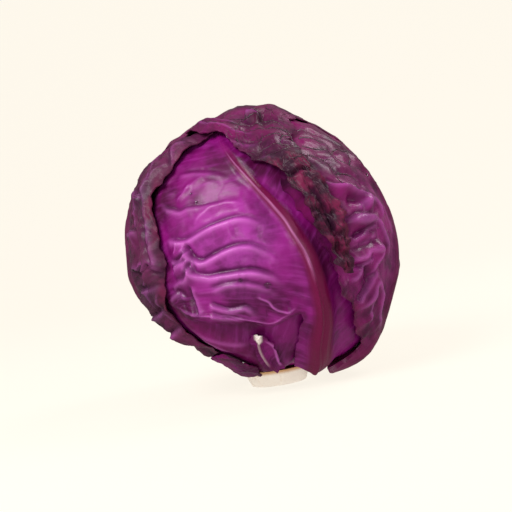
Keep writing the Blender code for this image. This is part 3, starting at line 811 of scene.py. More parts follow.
LEFT_PLEATS = [
    pleat([(-46, -1), (-48, 6), (-49, 12), (-51, 18), (-54, 25), (-56, 34), (-57, 41), (-58, 47)],
          0.0030, 0.0018, 0.005, 0.0018, (0.05, 0.1)),
    pleat([(-43, 40), (-46, 45), (-48, 50), (-40, 53)], 0.0022, 0.0012, 0.004, 0.0016, (0.1, 0.1)),
    pleat([(-43, -3), (-46, -2), (-49, 1), (-53, -2), (-57, 0), (-62, -2), (-69, 1)],
          0.0030, 0.0014, 0.006, 0.0018, (0.05, 0.2)),
    pleat([(-68, -9), (-56, -8), (-48, -7), (-42, -6)], 0.0028, 0.0016, 0.007, 0.0020, (0.2, 0.05)),
    pleat([(-78, 34), (-70, 30), (-62, 31), (-57, 28)], 0.0018, 0.0008, 0.008),
    pleat([(-78, 18), (-68, 15), (-60, 16), (-54, 12)], 0.0022, 0.0010, 0.008),
    pleat([(-72, -22), (-60, -20), (-48, -16)], 0.0026, 0.0014, 0.006, 0.0020, (0.2, 0.05)),
    pleat([(-66, -32), (-56, -29), (-46, -26)], 0.0022, 0.0012, 0.006, 0.0020, (0.2, 0.05)),
]
LEFT_RIDGES = [
    ([(-68, 44), (-66, 30), (-62, 20), (-60, 6)], 0.0016, 0.0045),
    ([(-47, -9), (-50, -14), (-52, -20), (-51, -27)], 0.0026, 0.0034),
    ([(-60, -4), (-58, -12), (-58, -20)], 0.0020, 0.0034),
    ([(-44, 42), (-50, 38), (-53, 30), (-51, 24), (-48, 16)], 0.0016, 0.0028),
]
# Veins that show on the crown and down the right-hand side
CROWN_VEINS = [
    [(10, 74), (19, 71), (27, 68), (32, 65), (34, 61), (33, 57), (32, 53), (31, 49), (31, 45), (29, 41),
     (28, 38), (27, 34), (28, 31), (28, 27)],
    [(32, 52), (28, 51), (23, 51), (17, 50), (12, 51), (7, 50), (-2, 50)],
    [(29, 42), (24, 43), (20, 44), (15, 44), (11, 43), (6, 43), (2, 44)],
    [(29, 42), (23, 42), (19, 40), (13, 39), (7, 38)],
    [(32, 53), (27, 56), (22, 59), (12, 59), (6, 58), (-8, 57)],
    [(29, 51), (25, 50), (21, 47), (19, 44)],
    [(34, 62), (26, 64), (12, 65), (-10, 63), (-30, 62)],
    [(27, 68), (10, 70), (-20, 68), (-50, 65)],
    [(28, 36), (22, 35), (16, 33)],
]
RIGHT_VEINS = [
    [(35, 54), (40, 55), (51, 56), (55, 53), (61, 51)],
    [(33, 48), (39, 50), (48, 49), (52, 47), (56, 45), (57, 41)],
    [(30, 45), (35, 44), (39, 43), (44, 42), (52, 41), (54, 39), (54, 35), (57, 32), (62, 31), (66, 29),
     (74, 26)],
    [(28, 39), (32, 38), (37, 37), (42, 36), (47, 35), (52, 34)],
    [(42, 36), (43, 32), (42, 28), (42, 23), (46, 20)],
    [(43, 27), (49, 27), (54, 26), (57, 24), (60, 21)],
    [(54, 39), (62, 40), (72, 38), (84, 40)],
    [(62, 31), (70, 36), (80, 46)],
]
TOP_RIDGES = [
    ([(-46, 64), (-34, 62), (-19, 60), (-7, 57), (8, 54)], 0.0016, 0.0036),
    ([(-50, 68), (-36, 66), (-20, 65), (-2, 63)], 0.0014, 0.0040),
    ([(4, 74), (14, 72), (25, 69)], 0.0052, 0.0075),
    ([(6, 40), (14, 36), (22, 32)], 0.0010, 0.0040),
    ([(27, 24), (29, 18), (32, 12), (31, 5)], 0.0030, 0.0034),
    ([(18, 24), (20, 16), (24, 8), (27, 0), (29, -8)], 0.0020, 0.0022),
]
TOP_PLEATS = [
    pleat([(27, 28), (24, 29), (21, 29), (18, 28), (14, 29)], 0.0024, 0.0014, 0.005, 0.0014, (0.1, 0.1)),
    pleat([(29, 2), (28, 8), (27, 13), (25, 18), (23, 23)], 0.0030, 0.0018, 0.004, 0.0014, (0.1, 0.1)),
    pleat([(17, 17), (21, 19), (25, 18)], 0.0020, 0.0012, 0.003, 0.0012, (0.1, 0.1)),
    pleat([(20, 12), (24, 12), (28, 9)], 0.0020, 0.0012, 0.003, 0.0012, (0.1, 0.1)),
    pleat([(24, 4), (28, 2), (32, 2)], 0.0020, 0.0012, 0.003, 0.0012, (0.1, 0.1)),
    pleat([(-14, 54), (-6, 52), (2, 50), (10, 48)], 0.0010, 0.0005, 0.005),
]

# The wrapper leaves, from the innermost to the outermost
LEAVES = [
    Leaf("lower_left_leaf", "leaf_lower_left", LOWER_LEFT, (130, 50, 50), (0.018, 0.0055, 0.005, 0.001),
         pillows=(0, 0.0), curl=((0.2,), (0.0,)), ridges=LOWER_LEFT_RIDGES, dust=0.10, rib_mark=0.25,
         tone="purple"),
    Leaf("front_leaf", "leaf_front", FRONT, (300, 160, 80), (0.017, 0.0085, 0.003, 0.001), pillows=(8, 0.0),
         curl=((0.0, 0.0, 1.0, 2.6, 1.8, 0.5, 0.3, 0.3), (0.3,)), pleats=FRONT_PLEATS, ridges=FRONT_RIDGES,
         ragged=0.0016, dust=0.05, keel=1.0, rib_mark=1.0, tone="purple", pale=(-12, 6, 34),
         puff=(0.014, 0.0002)),
    Leaf("back_leaf", "leaf_back", BACK, (150, 60, 60), (0.014, 0.0060, 0.003, 0.001), pillows=(7, 0.0012),
         dust=0.35, net=8),
    Leaf("left_leaf", "leaf_left", LEFT, (240, 85, 105), (0.014, 0.0055, 0.003, 0.001), pillows=(8, 0.0012),
         curl=((0.8,), (0.1, 0.1, 0.1, 0.2, 0.3, 0.3, 0.3)), pleats=LEFT_PLEATS, ridges=LEFT_RIDGES,
         ragged=0.0030, dust=0.70, net=8, pinch=0.0014, crumple=0.0018, puff=(0.013, 0.0005), withered=0.8),
    Leaf("torn_foot", "leaf_remnant", REMNANT, (60, 40, 40), (0.010, 0.0040, 0.006, 0.002), pillows=(0, 0.0),
         curl=((0.3,), (0.3,)), ragged=0.0022, dust=0.25, pinch=0.0020, crumple=0.0014, tone="purple",
         withered=0.4),
    Leaf("right_leaf", "leaf_right", RIGHT, (240, 110, 76), (0.016, 0.0050, 0.003, 0.001), pillows=(8, 0.0005),
         curl=((0.4, 0.6, 1.0, 1.2, 1.0, 0.6, 0.2, 0.0, 0.0), (0.4,)), pleats=RIGHT_PLEATS, ridges=RIGHT_RIDGES,
         ragged=0.0026, dust=0.05, blister=0.0003, veins=RIGHT_VEINS, pinch=0.0014, crumple=0.0005,
         puff=(0.015, 0.0001), withered=0.5, pale=(54, -6, 48)),
    Leaf("top_leaf", "leaf_top", TOP, (360, 65, 65), (0.014, 0.0060, 0.002, 0.0008), pillows=(9, 0.0008),
         curl=((0.2, 0.2, 0.1, 0.0, 0.0, 0.0, 0.0, 0.2, 0.9, 1.0),
               (0.1, 0.1, 0.1, 0.1, 0.1, 0.1, 0.1, 0.4, 1.0, 1.1)),
         pleats=TOP_PLEATS, ridges=TOP_RIDGES, ragged=0.0030, dust=0.20, dry=(0.775, 0.03),
         veins=CROWN_VEINS, net=9, pinch=0.0014, crumple=0.0009, puff=(0.014, 0.0001), withered=0.3),
    Leaf("torn_stalk", "leaf_stub", STUB, (90, 30, 40), (0.0022, 0.0022, 0.0020, 0.0024), pillows=(0, 0.0),
         curl=((0.0,), (0.3,)), ridges=STUB_RIDGES, ragged=0.0014, dust=0.05, pinch=0.0012, crumple=0.0006,
         tone="purple", torn=0.7),
]


def leaf_named(name):
    return next(leaf for leaf in LEAVES if leaf.name == name)


def add_node(tree, kind, inputs=None, out=0, **settings):
    """Adds one node with its settings and inputs, and gives one of its outputs.

    An input that is a socket is linked from there, and any other is the input's own value.
    """
    made = tree.nodes.new(kind)
    for key, value in settings.items():
        setattr(made, key, value)
    for key, given in (inputs or {}).items():
        if isinstance(given, bpy.types.NodeSocket):
            tree.links.new(given, made.inputs[key])
        else:
            made.inputs[key].default_value = given
    return made.outputs[out] if made.outputs else None


def new_material(name):
    material = bpy.data.materials.new(name)
    material.use_nodes = True
    material.node_tree.nodes.clear()
    return material, material.node_tree


def leaf_finish(name, colours, tone, dust, roughness):
    """Waxy red cabbage leaf: purple under a thin wax film, with a grey bloom where nobody rubbed it off."""
    material, tree = new_material(name)
    mark = {
        key: add_node(tree, "ShaderNodeAttribute", out="Fac", attribute_name=key)
        for key in ("rib", "keel", "net", "pale", "crest", "dry", "edge", "crease", "flesh")
    }
    place = add_node(tree, "ShaderNodeTexCoord", out="Object")
    vein_place = add_node(tree, "ShaderNodeAttribute", out="Vector", attribute_name="vein_place")
    # Fibres run with the side veins in the blade and lengthwise in the midrib, one to a few mm apart
    in_blade = add_node(tree, "ShaderNodeMapping", {"Vector": vein_place, "Scale": (420.0, 60.0, 0.0)})
    in_rib = add_node(tree, "ShaderNodeMapping", {"Vector": vein_place, "Scale": (0.0, 900.0, 35.0)})
    # Clouds about 26 mm across, patches of 13 mm, and clusters of cells of 0.8 mm
    noises = {
        "clouds": (place, 38.0, 3.0, 0.55),
        "patches": (place, 75.0, 4.0, 0.60),
        "grain": (place, 1300.0, 2.0, 0.50),
        "blade_fibres": (in_blade, 1.0, 3.0, 0.60),
        "rib_fibres": (in_rib, 1.0, 3.0, 0.60),
    }
    pattern = {
        key: add_node(tree, "ShaderNodeTexNoise", dict(zip(("Vector", "Scale", "Detail", "Roughness"), values)))
        for key, values in noises.items()
    }
    fibres = {0: mark["rib"], 2: pattern["blade_fibres"], 3: pattern["rib_fibres"]}
    fibres = add_node(tree, "ShaderNodeMix", fibres, data_type="FLOAT")
    # What is read, its low and high ends, and what they give. The net is dark in its cells' valleys.
    crest_highlight_share, net_share = (0.32, 0.10) if tone == "plum" else (0.60, 0.04)
    ranges = {
        "blade": (pattern["clouds"], 0.35, 0.65, 0.0, 1.0),
        "pale": (pattern["patches"], 0.36, 0.64, 0.25, 0.75),
        "fibres": (fibres, 0.42, 0.75, 0.0, 0.24),
        "net": (mark["net"], 0.02, 0.14, net_share, 0.0),
        "keel": (pattern["rib_fibres"], 0.35, 0.70, 0.12, 0.55),
        "bloom": (pattern["patches"], 0.34, 0.66, 0.35, 1.0),
        "grain": (pattern["grain"], 0.30, 0.70, 0.70, 1.0),
        "dried": (pattern["patches"], 0.40, 0.62, 0.0, 1.0),
        "roughness": (pattern["grain"], 0.30, 0.70, roughness - 0.05, roughness + 0.06),
    }
    share = {
        key: add_node(tree, "ShaderNodeMapRange", dict(enumerate(values)), interpolation_type="SMOOTHSTEP")
        for key, values in ranges.items()
    }
    bloom = add_node(tree, "ShaderNodeMath", {0: share["bloom"], 1: dust}, operation="MULTIPLY")
    bloom = add_node(tree, "ShaderNodeMath", {0: bloom, 1: share["grain"]}, operation="MULTIPLY")
    dried = {0: share["dried"], 6: colours["dried_dark"], 7: colours["dried"]}
    dried = add_node(tree, "ShaderNodeMix", dried, out=2, data_type="RGBA")
    # The layers of colour, from the bottom up: where it shows, how much of it, and the colour. The lit crest and
    # keel layers are painted highlights, the lighter area is partly painted sheen, the crease layer is painted
    # shade and the margin layer is partly painted shade.
    colour = colours[tone + "_deep"]
    for where, amount, layer in (
        (share["blade"], 1.0, colours[tone]),
        (mark["pale"], share["pale"], colours[tone + "_light"]),
        (share["fibres"], 1.0, colours[tone + "_light"]),
        (mark["crest"], crest_highlight_share, colours["lit_crest"]),
        (share["net"], 1.0, colours["vein"]),
        (mark["rib"], 1.0, colours["rib"]),
        (mark["keel"], share["keel"], colours["keel"]),
        (bloom, 1.0, colours["bloom"]),
        (mark["dry"], 1.0, dried),
        (mark["edge"], 0.55, colours["edge"]),
        (mark["crease"], 0.65, colours["crease"]),
        (mark["flesh"], 1.0, colours["pith"]),
    ):
        shown = add_node(tree, "ShaderNodeMath", {0: where, 1: amount}, operation="MULTIPLY")
        colour = add_node(tree, "ShaderNodeMix", {0: shown, 6: colour, 7: layer}, out=2, data_type="RGBA")
    # Bloom and shrivelled leaf are more matt than the wax film
    matt = {0: bloom, 1: 0.25, 2: share["roughness"]}
    matt = {0: mark["dry"], 1: 0.25, 2: add_node(tree, "ShaderNodeMath", matt, operation="MULTIPLY_ADD")}
    matt = add_node(tree, "ShaderNodeMath", matt, operation="MULTIPLY_ADD", use_clamp=True)
    # Fine relief: fibres, cells and the net of fine veins
    relief = {}
    for height, strength, depth in (
        (fibres, 0.14, 0.00025), (pattern["grain"], 0.25, 0.00012), (share["net"], 0.40, 0.00030)
    ):
        bumped = {"Height": height, "Strength": strength, "Distance": depth, **relief}
        relief = {"Normal": add_node(tree, "ShaderNodeBump", bumped)}
    finish = {"Base Color": colour, "Roughness": matt, "IOR": 1.46, "Specular IOR Level": 0.22, **relief}
    wax_film = {"Coat Weight": 0.07, "Coat Roughness": 0.20}
    shader = add_node(tree, "ShaderNodeBsdfPrincipled", {**finish, **wax_film})
    add_node(tree, "ShaderNodeOutputMaterial", {"Surface": shader})
    return material


def colour_values(context):
    """The scene's colours by name, as RGBA."""
    colours = context.scene.cabbage_colours
    return {name: tuple(getattr(colours, name)) for name in colours.__annotations__}


def make_leaf(name, context):
    """Makes one wrapper leaf over those before it in the list and under those after it."""
    leaf = leaf_named(name)
    place = LEAVES.index(leaf)
    surface = leaf_surface(leaf, LEAVES[:place], LEAVES[place + 1 :], context.scene.cabbage_sizes)
    roughness = WAX_ROUGHNESS + BLOOM_ROUGHNESS * leaf.dust
    finish = leaf_finish("waxy_leaf_" + leaf.name, colour_values(context), leaf.tone, leaf.dust, roughness)
    hold(leaf_piece(leaf, *surface, finish), leaf.node)
    return {"FINISHED"}


def cut_finish(colours):
    """Cut cabbage stalk: wet pale pith with darker fibre ends, dried to a tan, corky skin round the edge."""
    material, tree = new_material("cut_stalk_flesh")
    place = add_node(tree, "ShaderNodeTexCoord", out="Object")
    skin = add_node(tree, "ShaderNodeAttribute", out="Fac", attribute_name="skin")
    # Stains about 4 mm across, and fibre ends of 0.7 mm
    blots = {"Vector": place, "Scale": 260.0, "Detail": 4.0, "Roughness": 0.65}
    blots = add_node(tree, "ShaderNodeTexNoise", blots)
    specks = add_node(tree, "ShaderNodeTexNoise", {"Vector": place, "Scale": 1500.0, "Detail": 2.0})
    stained, speckled, roughness = (
        add_node(tree, "ShaderNodeMapRange", dict(enumerate(values)), interpolation_type="SMOOTHSTEP")
        for values in (
            (blots, 0.54, 0.74, 0.0, 0.30), (specks, 0.58, 0.78, 0.0, 0.22), (blots, 0.3, 0.7, 0.48, 0.70)
        )
    )
    colour = colours["pith"]
    for share in (stained, speckled, skin):
        layers = {0: share, 6: colour, 7: colours["cork"]}
        colour = add_node(tree, "ShaderNodeMix", layers, out=2, data_type="RGBA")
    pores = add_node(tree, "ShaderNodeBump", {"Height": specks, "Strength": 0.5, "Distance": 0.0003})
    finish = {"Base Color": colour, "Roughness": roughness, "Normal": pores, "IOR": 1.40}
    add_node(tree, "ShaderNodeOutputMaterial", {"Surface": add_node(tree, "ShaderNodeBsdfPrincipled", finish)})
    return material


def vein_finish(colours):
    """Fine veins of a plum leaf: smooth, dark threads that stand out of the waxy blade."""
    material, tree = new_material("vein_on_plum")
    place = add_node(tree, "ShaderNodeTexCoord", out="Object")
    clouds = add_node(tree, "ShaderNodeTexNoise", {"Vector": place, "Scale": 160.0, "Detail": 3.0})
    tinted, roughness = (
        add_node(tree, "ShaderNodeMapRange", dict(enumerate(values)), interpolation_type="SMOOTHSTEP")
        for values in ((clouds, 0.35, 0.65, 0.0, 1.0), (clouds, 0.3, 0.7, 0.34, 0.50))
    )
    layers = {0: tinted, 6: colours["vein"], 7: colours["dried_dark"]}
    colour = add_node(tree, "ShaderNodeMix", layers, out=2, data_type="RGBA")
    finish = {"Base Color": colour, "Roughness": roughness, "IOR": 1.46}
    add_node(tree, "ShaderNodeOutputMaterial", {"Surface": add_node(tree, "ShaderNodeBsdfPrincipled", finish)})
    return material


def water_finish():
    """A drop of water: clear, with a tight highlight."""
    material, tree = new_material("water_drop")
    place = add_node(tree, "ShaderNodeTexCoord", out="Object")
    ripple = add_node(tree, "ShaderNodeTexNoise", {"Vector": place, "Scale": 700.0})
    ripple = dict(enumerate((ripple, 0.3, 0.7, 0.01, 0.05)))
    roughness = add_node(tree, "ShaderNodeMapRange", ripple, interpolation_type="SMOOTHSTEP")
    finish = {"Roughness": roughness, "Transmission Weight": 1.0, "IOR": 1.333}
    add_node(tree, "ShaderNodeOutputMaterial", {"Surface": add_node(tree, "ShaderNodeBsdfPrincipled", finish)})
    return material


def new_tree(name, inputs):
    """A Geometry Nodes tree with a geometry in and out, and named inputs, each with its kind of socket."""
    tree = bpy.data.node_groups.new(name, "GeometryNodeTree")
    for label, kind in {"Geometry": "Geometry", **inputs}.items():
        tree.interface.new_socket(label, in_out="INPUT", socket_type="NodeSocket" + kind)
    tree.interface.new_socket("Geometry", in_out="OUTPUT", socket_type="NodeSocketGeometry")
    return tree, add_node(tree, "NodeGroupInput").node.outputs


def end_tree(tree, geometry, material):
    """Ends a tree in Realize Instances and Set Material, shaded smooth."""
    shaded = add_node(tree, "GeometryNodeSetShadeSmooth", {"Geometry": geometry})
    real = add_node(tree, "GeometryNodeRealizeInstances", {"Geometry": shaded})
    finished = add_node(tree, "GeometryNodeSetMaterial", {"Geometry": real, "Material": material})
    add_node(tree, "NodeGroupOutput", {"Geometry": finished})


def vein_tree():
    """Tubes along lines, as thick as each point's share of the radius."""
    tree, given = new_tree("vein_tubes", {"Radius": "Float", "Sides": "Int", "Material": "Material"})
    share = add_node(tree, "GeometryNodeInputNamedAttribute", {"Name": "share"}, data_type="FLOAT")
    radius = add_node(tree, "ShaderNodeMath", {0: share, 1: given["Radius"]}, operation="MULTIPLY")
    lines = add_node(tree, "GeometryNodeMeshToCurve", {"Mesh": given["Geometry"]})
    sized = add_node(tree, "GeometryNodeSetCurveRadius", {"Curve": lines, "Radius": radius})
    ring = add_node(tree, "GeometryNodeCurvePrimitiveCircle", {"Radius": 1.0, "Resolution": given["Sides"]})
    swept = {"Curve": sized, "Profile Curve": ring, "Scale": radius, "Fill Caps": True}
    end_tree(tree, add_node(tree, "GeometryNodeCurveToMesh", swept), given["Material"])
    return tree


def dew_tree():
    """Flattened drops on points, each turned to face the way its surface does."""
    sockets = {"Radius": "Float", "Flatness": "Float", "Seed": "Int", "Material": "Material"}
    tree, given = new_tree("dew_drops", sockets)
    share = add_node(tree, "GeometryNodeInputNamedAttribute", {"Name": "share"}, data_type="FLOAT")
    outwards = add_node(tree, "GeometryNodeInputNamedAttribute", {"Name": "out"}, data_type="FLOAT_VECTOR")
    turn = add_node(tree, "FunctionNodeAlignRotationToVector", {"Vector": outwards}, axis="Z")
    spread = {2: 0.85, 3: 1.10, "Seed": given["Seed"]}
    size = add_node(tree, "FunctionNodeRandomValue", spread, out=1, data_type="FLOAT")
    for factor in (share, given["Radius"]):
        size = add_node(tree, "ShaderNodeMath", {0: size, 1: factor}, operation="MULTIPLY")
    height = add_node(tree, "ShaderNodeMath", {0: size, 1: given["Flatness"]}, operation="MULTIPLY")
    scale = add_node(tree, "ShaderNodeCombineXYZ", {0: size, 1: size, 2: height})
    ball = add_node(tree, "GeometryNodeMeshUVSphere", {"Segments": 20, "Rings": 12, "Radius": 1.0})
    placed = {"Points": given["Geometry"], "Instance": ball, "Rotation": turn, "Scale": scale}
    end_tree(tree, add_node(tree, "GeometryNodeInstanceOnPoints", placed), given["Material"])
    return tree


def grown(name, tree, source, values):
    """Runs a tree over a source mesh and keeps the result as a plain mesh object."""
    seed = bpy.data.objects.new(name + "_source", source)
    bpy.context.scene.collection.objects.link(seed)
    modifier = seed.modifiers.new(name, "NODES")
    modifier.node_group = tree
    for socket in tree.interface.items_tree:
        if socket.in_out == "INPUT" and socket.name in values:
            modifier[socket.identifier] = values[socket.name]
    graph = bpy.context.evaluated_depsgraph_get()
    mesh = bpy.data.meshes.new_from_object(seed.evaluated_get(graph))
    seed.modifiers.remove(modifier)
    bpy.data.objects.remove(seed, do_unlink=True)
    made = bpy.data.objects.new(name, mesh)
    bpy.context.scene.collection.objects.link(made)
    return made


def on_leaf(leaf, along, across):
    """Points on a leaf's upper surface, and how free of other leaves it is there."""
    rows, columns = leaf.grid[0], sum(leaf.grid[1:])
    r = np.clip(np.asarray(along), 0, 1) * rows
    c = np.interp(across, leaf.across, np.arange(columns + 1))
    i, j = np.minimum(r.astype(int), rows - 1), np.minimum(c.astype(int), columns - 1)
    f, g = r - i, c - j

    def read(table):
        ff, gg = (f[:, None], g[:, None]) if table.ndim == 3 else (f, g)
        low = table[i, j] * (1 - gg) + table[i, j + 1] * gg
        high = table[i + 1, j] * (1 - gg) + table[i + 1, j + 1] * gg
        return low * (1 - ff) + high * ff

    return read(leaf.upper), read(leaf.free)


def vein_lines(leaf):
    """Side veins, their forks and the cross veins between them, each as places along, across and shares."""
    rng = np.random.default_rng(leaf.seed)
    lines = []
    starts = 0.05 + 0.85 * np.arange(leaf.net) / leaf.net

    def side_vein(start, u):
        wiggle = 0.006 * np.sin(17 * u + 40 * start) + 0.003 * np.sin(41 * u + 90 * start)
        return start + 0.11 * u**1.3 + wiggle * u

    for side in (-1, 1):
        for k, start in enumerate(starts):
            start = start + (0.4 / leaf.net if side > 0 else 0)
            u = np.linspace(0.14, 0.95, 60)
            lines.append((side_vein(start, u), side * u, 0.15 + 0.85 * (1 - u) ** 0.8))
            for fork in (0.35, 0.62):
                v = np.linspace(fork, min(0.97, fork + 0.38), 24)
                rise = 0.6 * (v - fork) / leaf.net / 0.38
                climb = side_vein(start, v) + rise + 0.002 * np.sin(60 * v)
                lines.append((climb, side * v, 0.10 + 0.45 * (1 - v)))
            for _ in range(5):
                u0 = rng.uniform(0.16, 0.92)
                u1 = min(0.96, u0 + rng.uniform(0.02, 0.10))
                f = np.linspace(0, 1, 10)
                v = u0 + (u1 - u0) * f
                climb = side_vein(start, v) * (1 - f) + side_vein(start + 1 / leaf.net, v) * f
                sway = 0.014 * np.sin(2 * np.pi * f + rng.uniform(0, 6)) * (1 - np.abs(2 * f - 1))
                lines.append((climb, side * (v + sway), np.full(10, 0.20)))
    return lines


def vein_source(leaf, radius):
    """A mesh of loose edges that follows the veins, sunk a little into the leaf, where the leaf can be seen."""
    points, edges, shares = [], [], []
    lines = []
    for along, across, share in (vein_lines(leaf) if leaf.net else ()):
        keep = (along > 0.02) & (along < 0.985)
        if keep.sum() > 2:
            lines.append((*on_leaf(leaf, along[keep], across[keep]), share[keep]))
    for drawn in leaf.veins:
        line = drawn_line(drawn, VEIN_STEPS)
        index = np.argmax(line @ unit(leaf.upper.reshape(-1, 3) - HEAD_CENTRE).T, axis=1)
        taper = 1 - 0.75 * np.linspace(0, 1, len(line)) ** 1.5
        lines.append((leaf.upper.reshape(-1, 3)[index], leaf.free.reshape(-1)[index], 1.6 * taper))
    for place, free, share in lines:
        out = unit(place - HEAD_CENTRE)
        place = place - out * (0.35 * radius * share)[:, None]
        seen = free > 0.5
        for i in range(len(place)):
            points.append(place[i])
            shares.append(share[i])
            if i and seen[i] and seen[i - 1]:
                edges.append((len(points) - 2, len(points) - 1))
    mesh = bpy.data.meshes.new(leaf.name + "_veins")
    mesh.from_pydata([tuple(p) for p in points], edges, [])
    add_marks(mesh, "FLOAT", {"share": shares})
    return mesh


def ring_faces(rings, sides):
    """Faces over rings of points, closed by the bottom's and the top's middle points, which come last."""
    bottom, top, last = rings * sides, rings * sides + 1, (rings - 1) * sides
    faces = []
    for j in range(sides):
        k = (j + 1) % sides
        faces.append((bottom, k, j))
        faces.append((top, last + j, last + k))
        for i in range(rings - 1):
            a, b = i * sides, (i + 1) * sides
            faces.append((a + j, a + k, b + k, b + j))
    return faces


def stage_finish():
    """Matt paper sweep, the cream of the photograph's ground."""
    material, tree = new_material("paper_sweep")
    paper = {"Base Color": linear("#605E5A"), "Roughness": 0.95, "Specular IOR Level": 0.0}
    glow = {"Emission Color": linear("#FFF9ED"), "Emission Strength": 0.90}
    shader = add_node(tree, "ShaderNodeBsdfPrincipled", {**paper, **glow})
    add_node(tree, "ShaderNodeOutputMaterial", {"Surface": shader})
    return material


def colour_property(name, description, code):
    return bpy.props.FloatVectorProperty(name=name, description=description, default=linear(code), size=4,
                                         min=0.0, max=1.0, subtype="COLOR")


class CabbageSizes(bpy.types.PropertyGroup):
    """Sizes that a user may change."""

    margin_blade: bpy.props.FloatProperty(
        name="Margin thickness", description="Thickness of a leaf at its edge", default=0.0006, unit="LENGTH")
    pucker_share: bpy.props.FloatProperty(
        name="Pucker", description="Share of the pleats' full height", default=1.0, subtype="FACTOR")
    flutter: bpy.props.FloatProperty(
        name="Flutter", description="How far a free margin waves in and out", default=0.0011, unit="LENGTH")
    vein_radius: bpy.props.FloatProperty(
        name="Vein radius", description="Radius of a side vein at the midrib", default=0.00042, unit="LENGTH")
    vein_sides: bpy.props.IntProperty(
        name="Vein sides", description="Sides of a vein's section", default=6)
    drop_radius: bpy.props.FloatProperty(
        name="Drop radius", description="Radius of the largest drop of water", default=0.0019, unit="LENGTH")


class CabbageColours(bpy.types.PropertyGroup):
    """Colours that a user may change."""

    purple_deep: colour_property("Purple, deep", "Darker patches of the front leaf", "#42022F")
    purple: colour_property("Purple", "The front leaf between its veins", "#740460")
    # Also the colour of the lighter area, which is partly painted sheen
    purple_light: colour_property("Purple, light", "Fibres and the thin middle of the front leaf", "#AC3CA4")
    plum_deep: colour_property("Plum, deep", "Darker patches of the outer leaves", "#300424")
    plum: colour_property("Plum", "The outer leaves between their veins", "#6A0C4A")
    plum_light: colour_property("Plum, light", "Fibres and thin parts of the outer leaves", "#8C1672")
    # Painted highlight laid along raised crests
    lit_crest: colour_property("Lit crest", "Raised crests", "#C866C0")
    vein: colour_property("Fine veins", "The net of fine veins", "#44142C")
    rib: colour_property("Midrib", "The thick midrib", "#620238")
    # Painted highlight laid along the midrib's sharp crest
    keel: colour_property("Keel", "The sharp crest of the midrib", "#D888C8")
    bloom: colour_property("Bloom", "The grey wax bloom", "#3E2434")
    dried: colour_property("Dried edge", "Shrivelled, brown leaf", "#640C38")
    dried_dark: colour_property("Dried edge, dark", "Darkest shrivelled leaf", "#2C0620")
    # The margin's own darker colour, and also painted shade where a margin stands off
    edge: colour_property("Margin", "The leaf's edge", "#3A0826")
    # Painted shade at the bottom of creases and in hollows
    crease: colour_property("Crease", "The bottom of a crease", "#2A0222")
    pith: colour_property("Pith", "The cut stalk's flesh", "#FFF6EC")
    cork: colour_property("Cork", "The dried skin of the cut stalk", "#D6A878")


class CABBAGE_OT_stump(bpy.types.Operator):
    """Makes the cut stump: knife-cut facets of pale pith under a tan, corky edge"""

    bl_idname = "cabbage.stump"
    bl_label = "Stump"

    def execute(self, context):
        sides, rings = 96, 22
        cuts = np.radians([12, 58, 104, 155, 203, 256, 301, 338])
        angle = 2 * np.pi * np.arange(sides) / sides
        reach = np.min(1 / np.maximum(np.cos(angle[:, None] - cuts[None, :]), 0.2), axis=1)
        facet = 0.35 * (reach / reach.max()) + 0.65
        points, skin = [], []
        for i in range(rings + 1):
            share = i / rings
            height = STUMP_HEIGHT * share
            radius = STUMP_FOOT_RADIUS + (STUMP_NECK_RADIUS - 0.002 - STUMP_FOOT_RADIUS) * share
            level = np.full(sides, height)
            # Cut fibres, about 2.5 mm apart and 0.2 mm high, and nearly level round the foot
            rough = 0.00022 * noise(np.stack([np.cos(angle) * 0.02, np.sin(angle) * 0.02, level], 1), 0.0025, 3)
            ring = radius * facet + rough * (0.2 if i == 0 else 1.0)
            points.append(np.stack([ring * np.cos(angle), ring * np.sin(angle), level], axis=1))
            skin.append(np.full(sides, max(0.0, min(1.0, (share - 0.72) / 0.2))))
        points = np.concatenate(points + [np.array([[0.0, 0.0, 0.0], [0.0, 0.0, STUMP_HEIGHT]])])
        marks = {"skin": np.concatenate(skin + [np.array([0.0, 1.0])])}
        finish = cut_finish(colour_values(context))
        piece = link_mesh("cut_stump", points, ring_faces(rings + 1, sides), finish, marks, sharp=35)
        hold(piece, "stump")
        return {"FINISHED"}


class CABBAGE_OT_heart(bpy.types.Operator):
    """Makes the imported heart, whose surface steps where one inner leaf closes over the next"""

    bl_idname = "cabbage.heart"
    bl_label = "Heart"

    def execute(self, context):
        rings, sides = 64, 120
        azimuth = 360 * np.arange(sides) / sides
        points, marks = [], {"rib": [], "edge": []}
        for i in range(1, rings):
            latitude = -90 + 180 * i / rings
            d = direction(azimuth, np.full(sides, latitude))
            turn = (azimuth / 360 * HEART_FOLDS + latitude / 150) % 1.0
            radius = ball_radius(d) - HEART_FOLD * turn * math.cos(math.radians(latitude))
            radius += 0.0003 * noise(d * HEART_RADIUS, 0.012, 11)
            points += list(HEAD_CENTRE + d * radius[:, None])
            # The same margin colour, partly painted shade, along the edge where one inner leaf closes over the
            # next
            marks["edge"] += list(smooth(1 - turn / 0.08))
            marks["rib"] += list(bump((turn - 0.5) / 0.15) * smooth((-latitude - 20) / 40))
        points = np.array(points)
        points[:, 2] = np.maximum(points[:, 2], HEART_FLOOR)
        ends = [[HEAD_CENTRE[0], 0, HEART_FLOOR], [HEAD_CENTRE[0], 0, HEAD_CENTRE[2] + HEART_RADIUS]]
        points = np.concatenate([points, ends])
        marks = {key: np.array(values + [0.0, 0.0]) for key, values in marks.items()}
        finish = leaf_finish("heart_leaf", colour_values(context), "purple", dust=0.1, roughness=0.42)
        hold(link_mesh("packed_heart", points, ring_faces(rings - 1, sides), finish, marks), "heart")
        return {"FINISHED"}


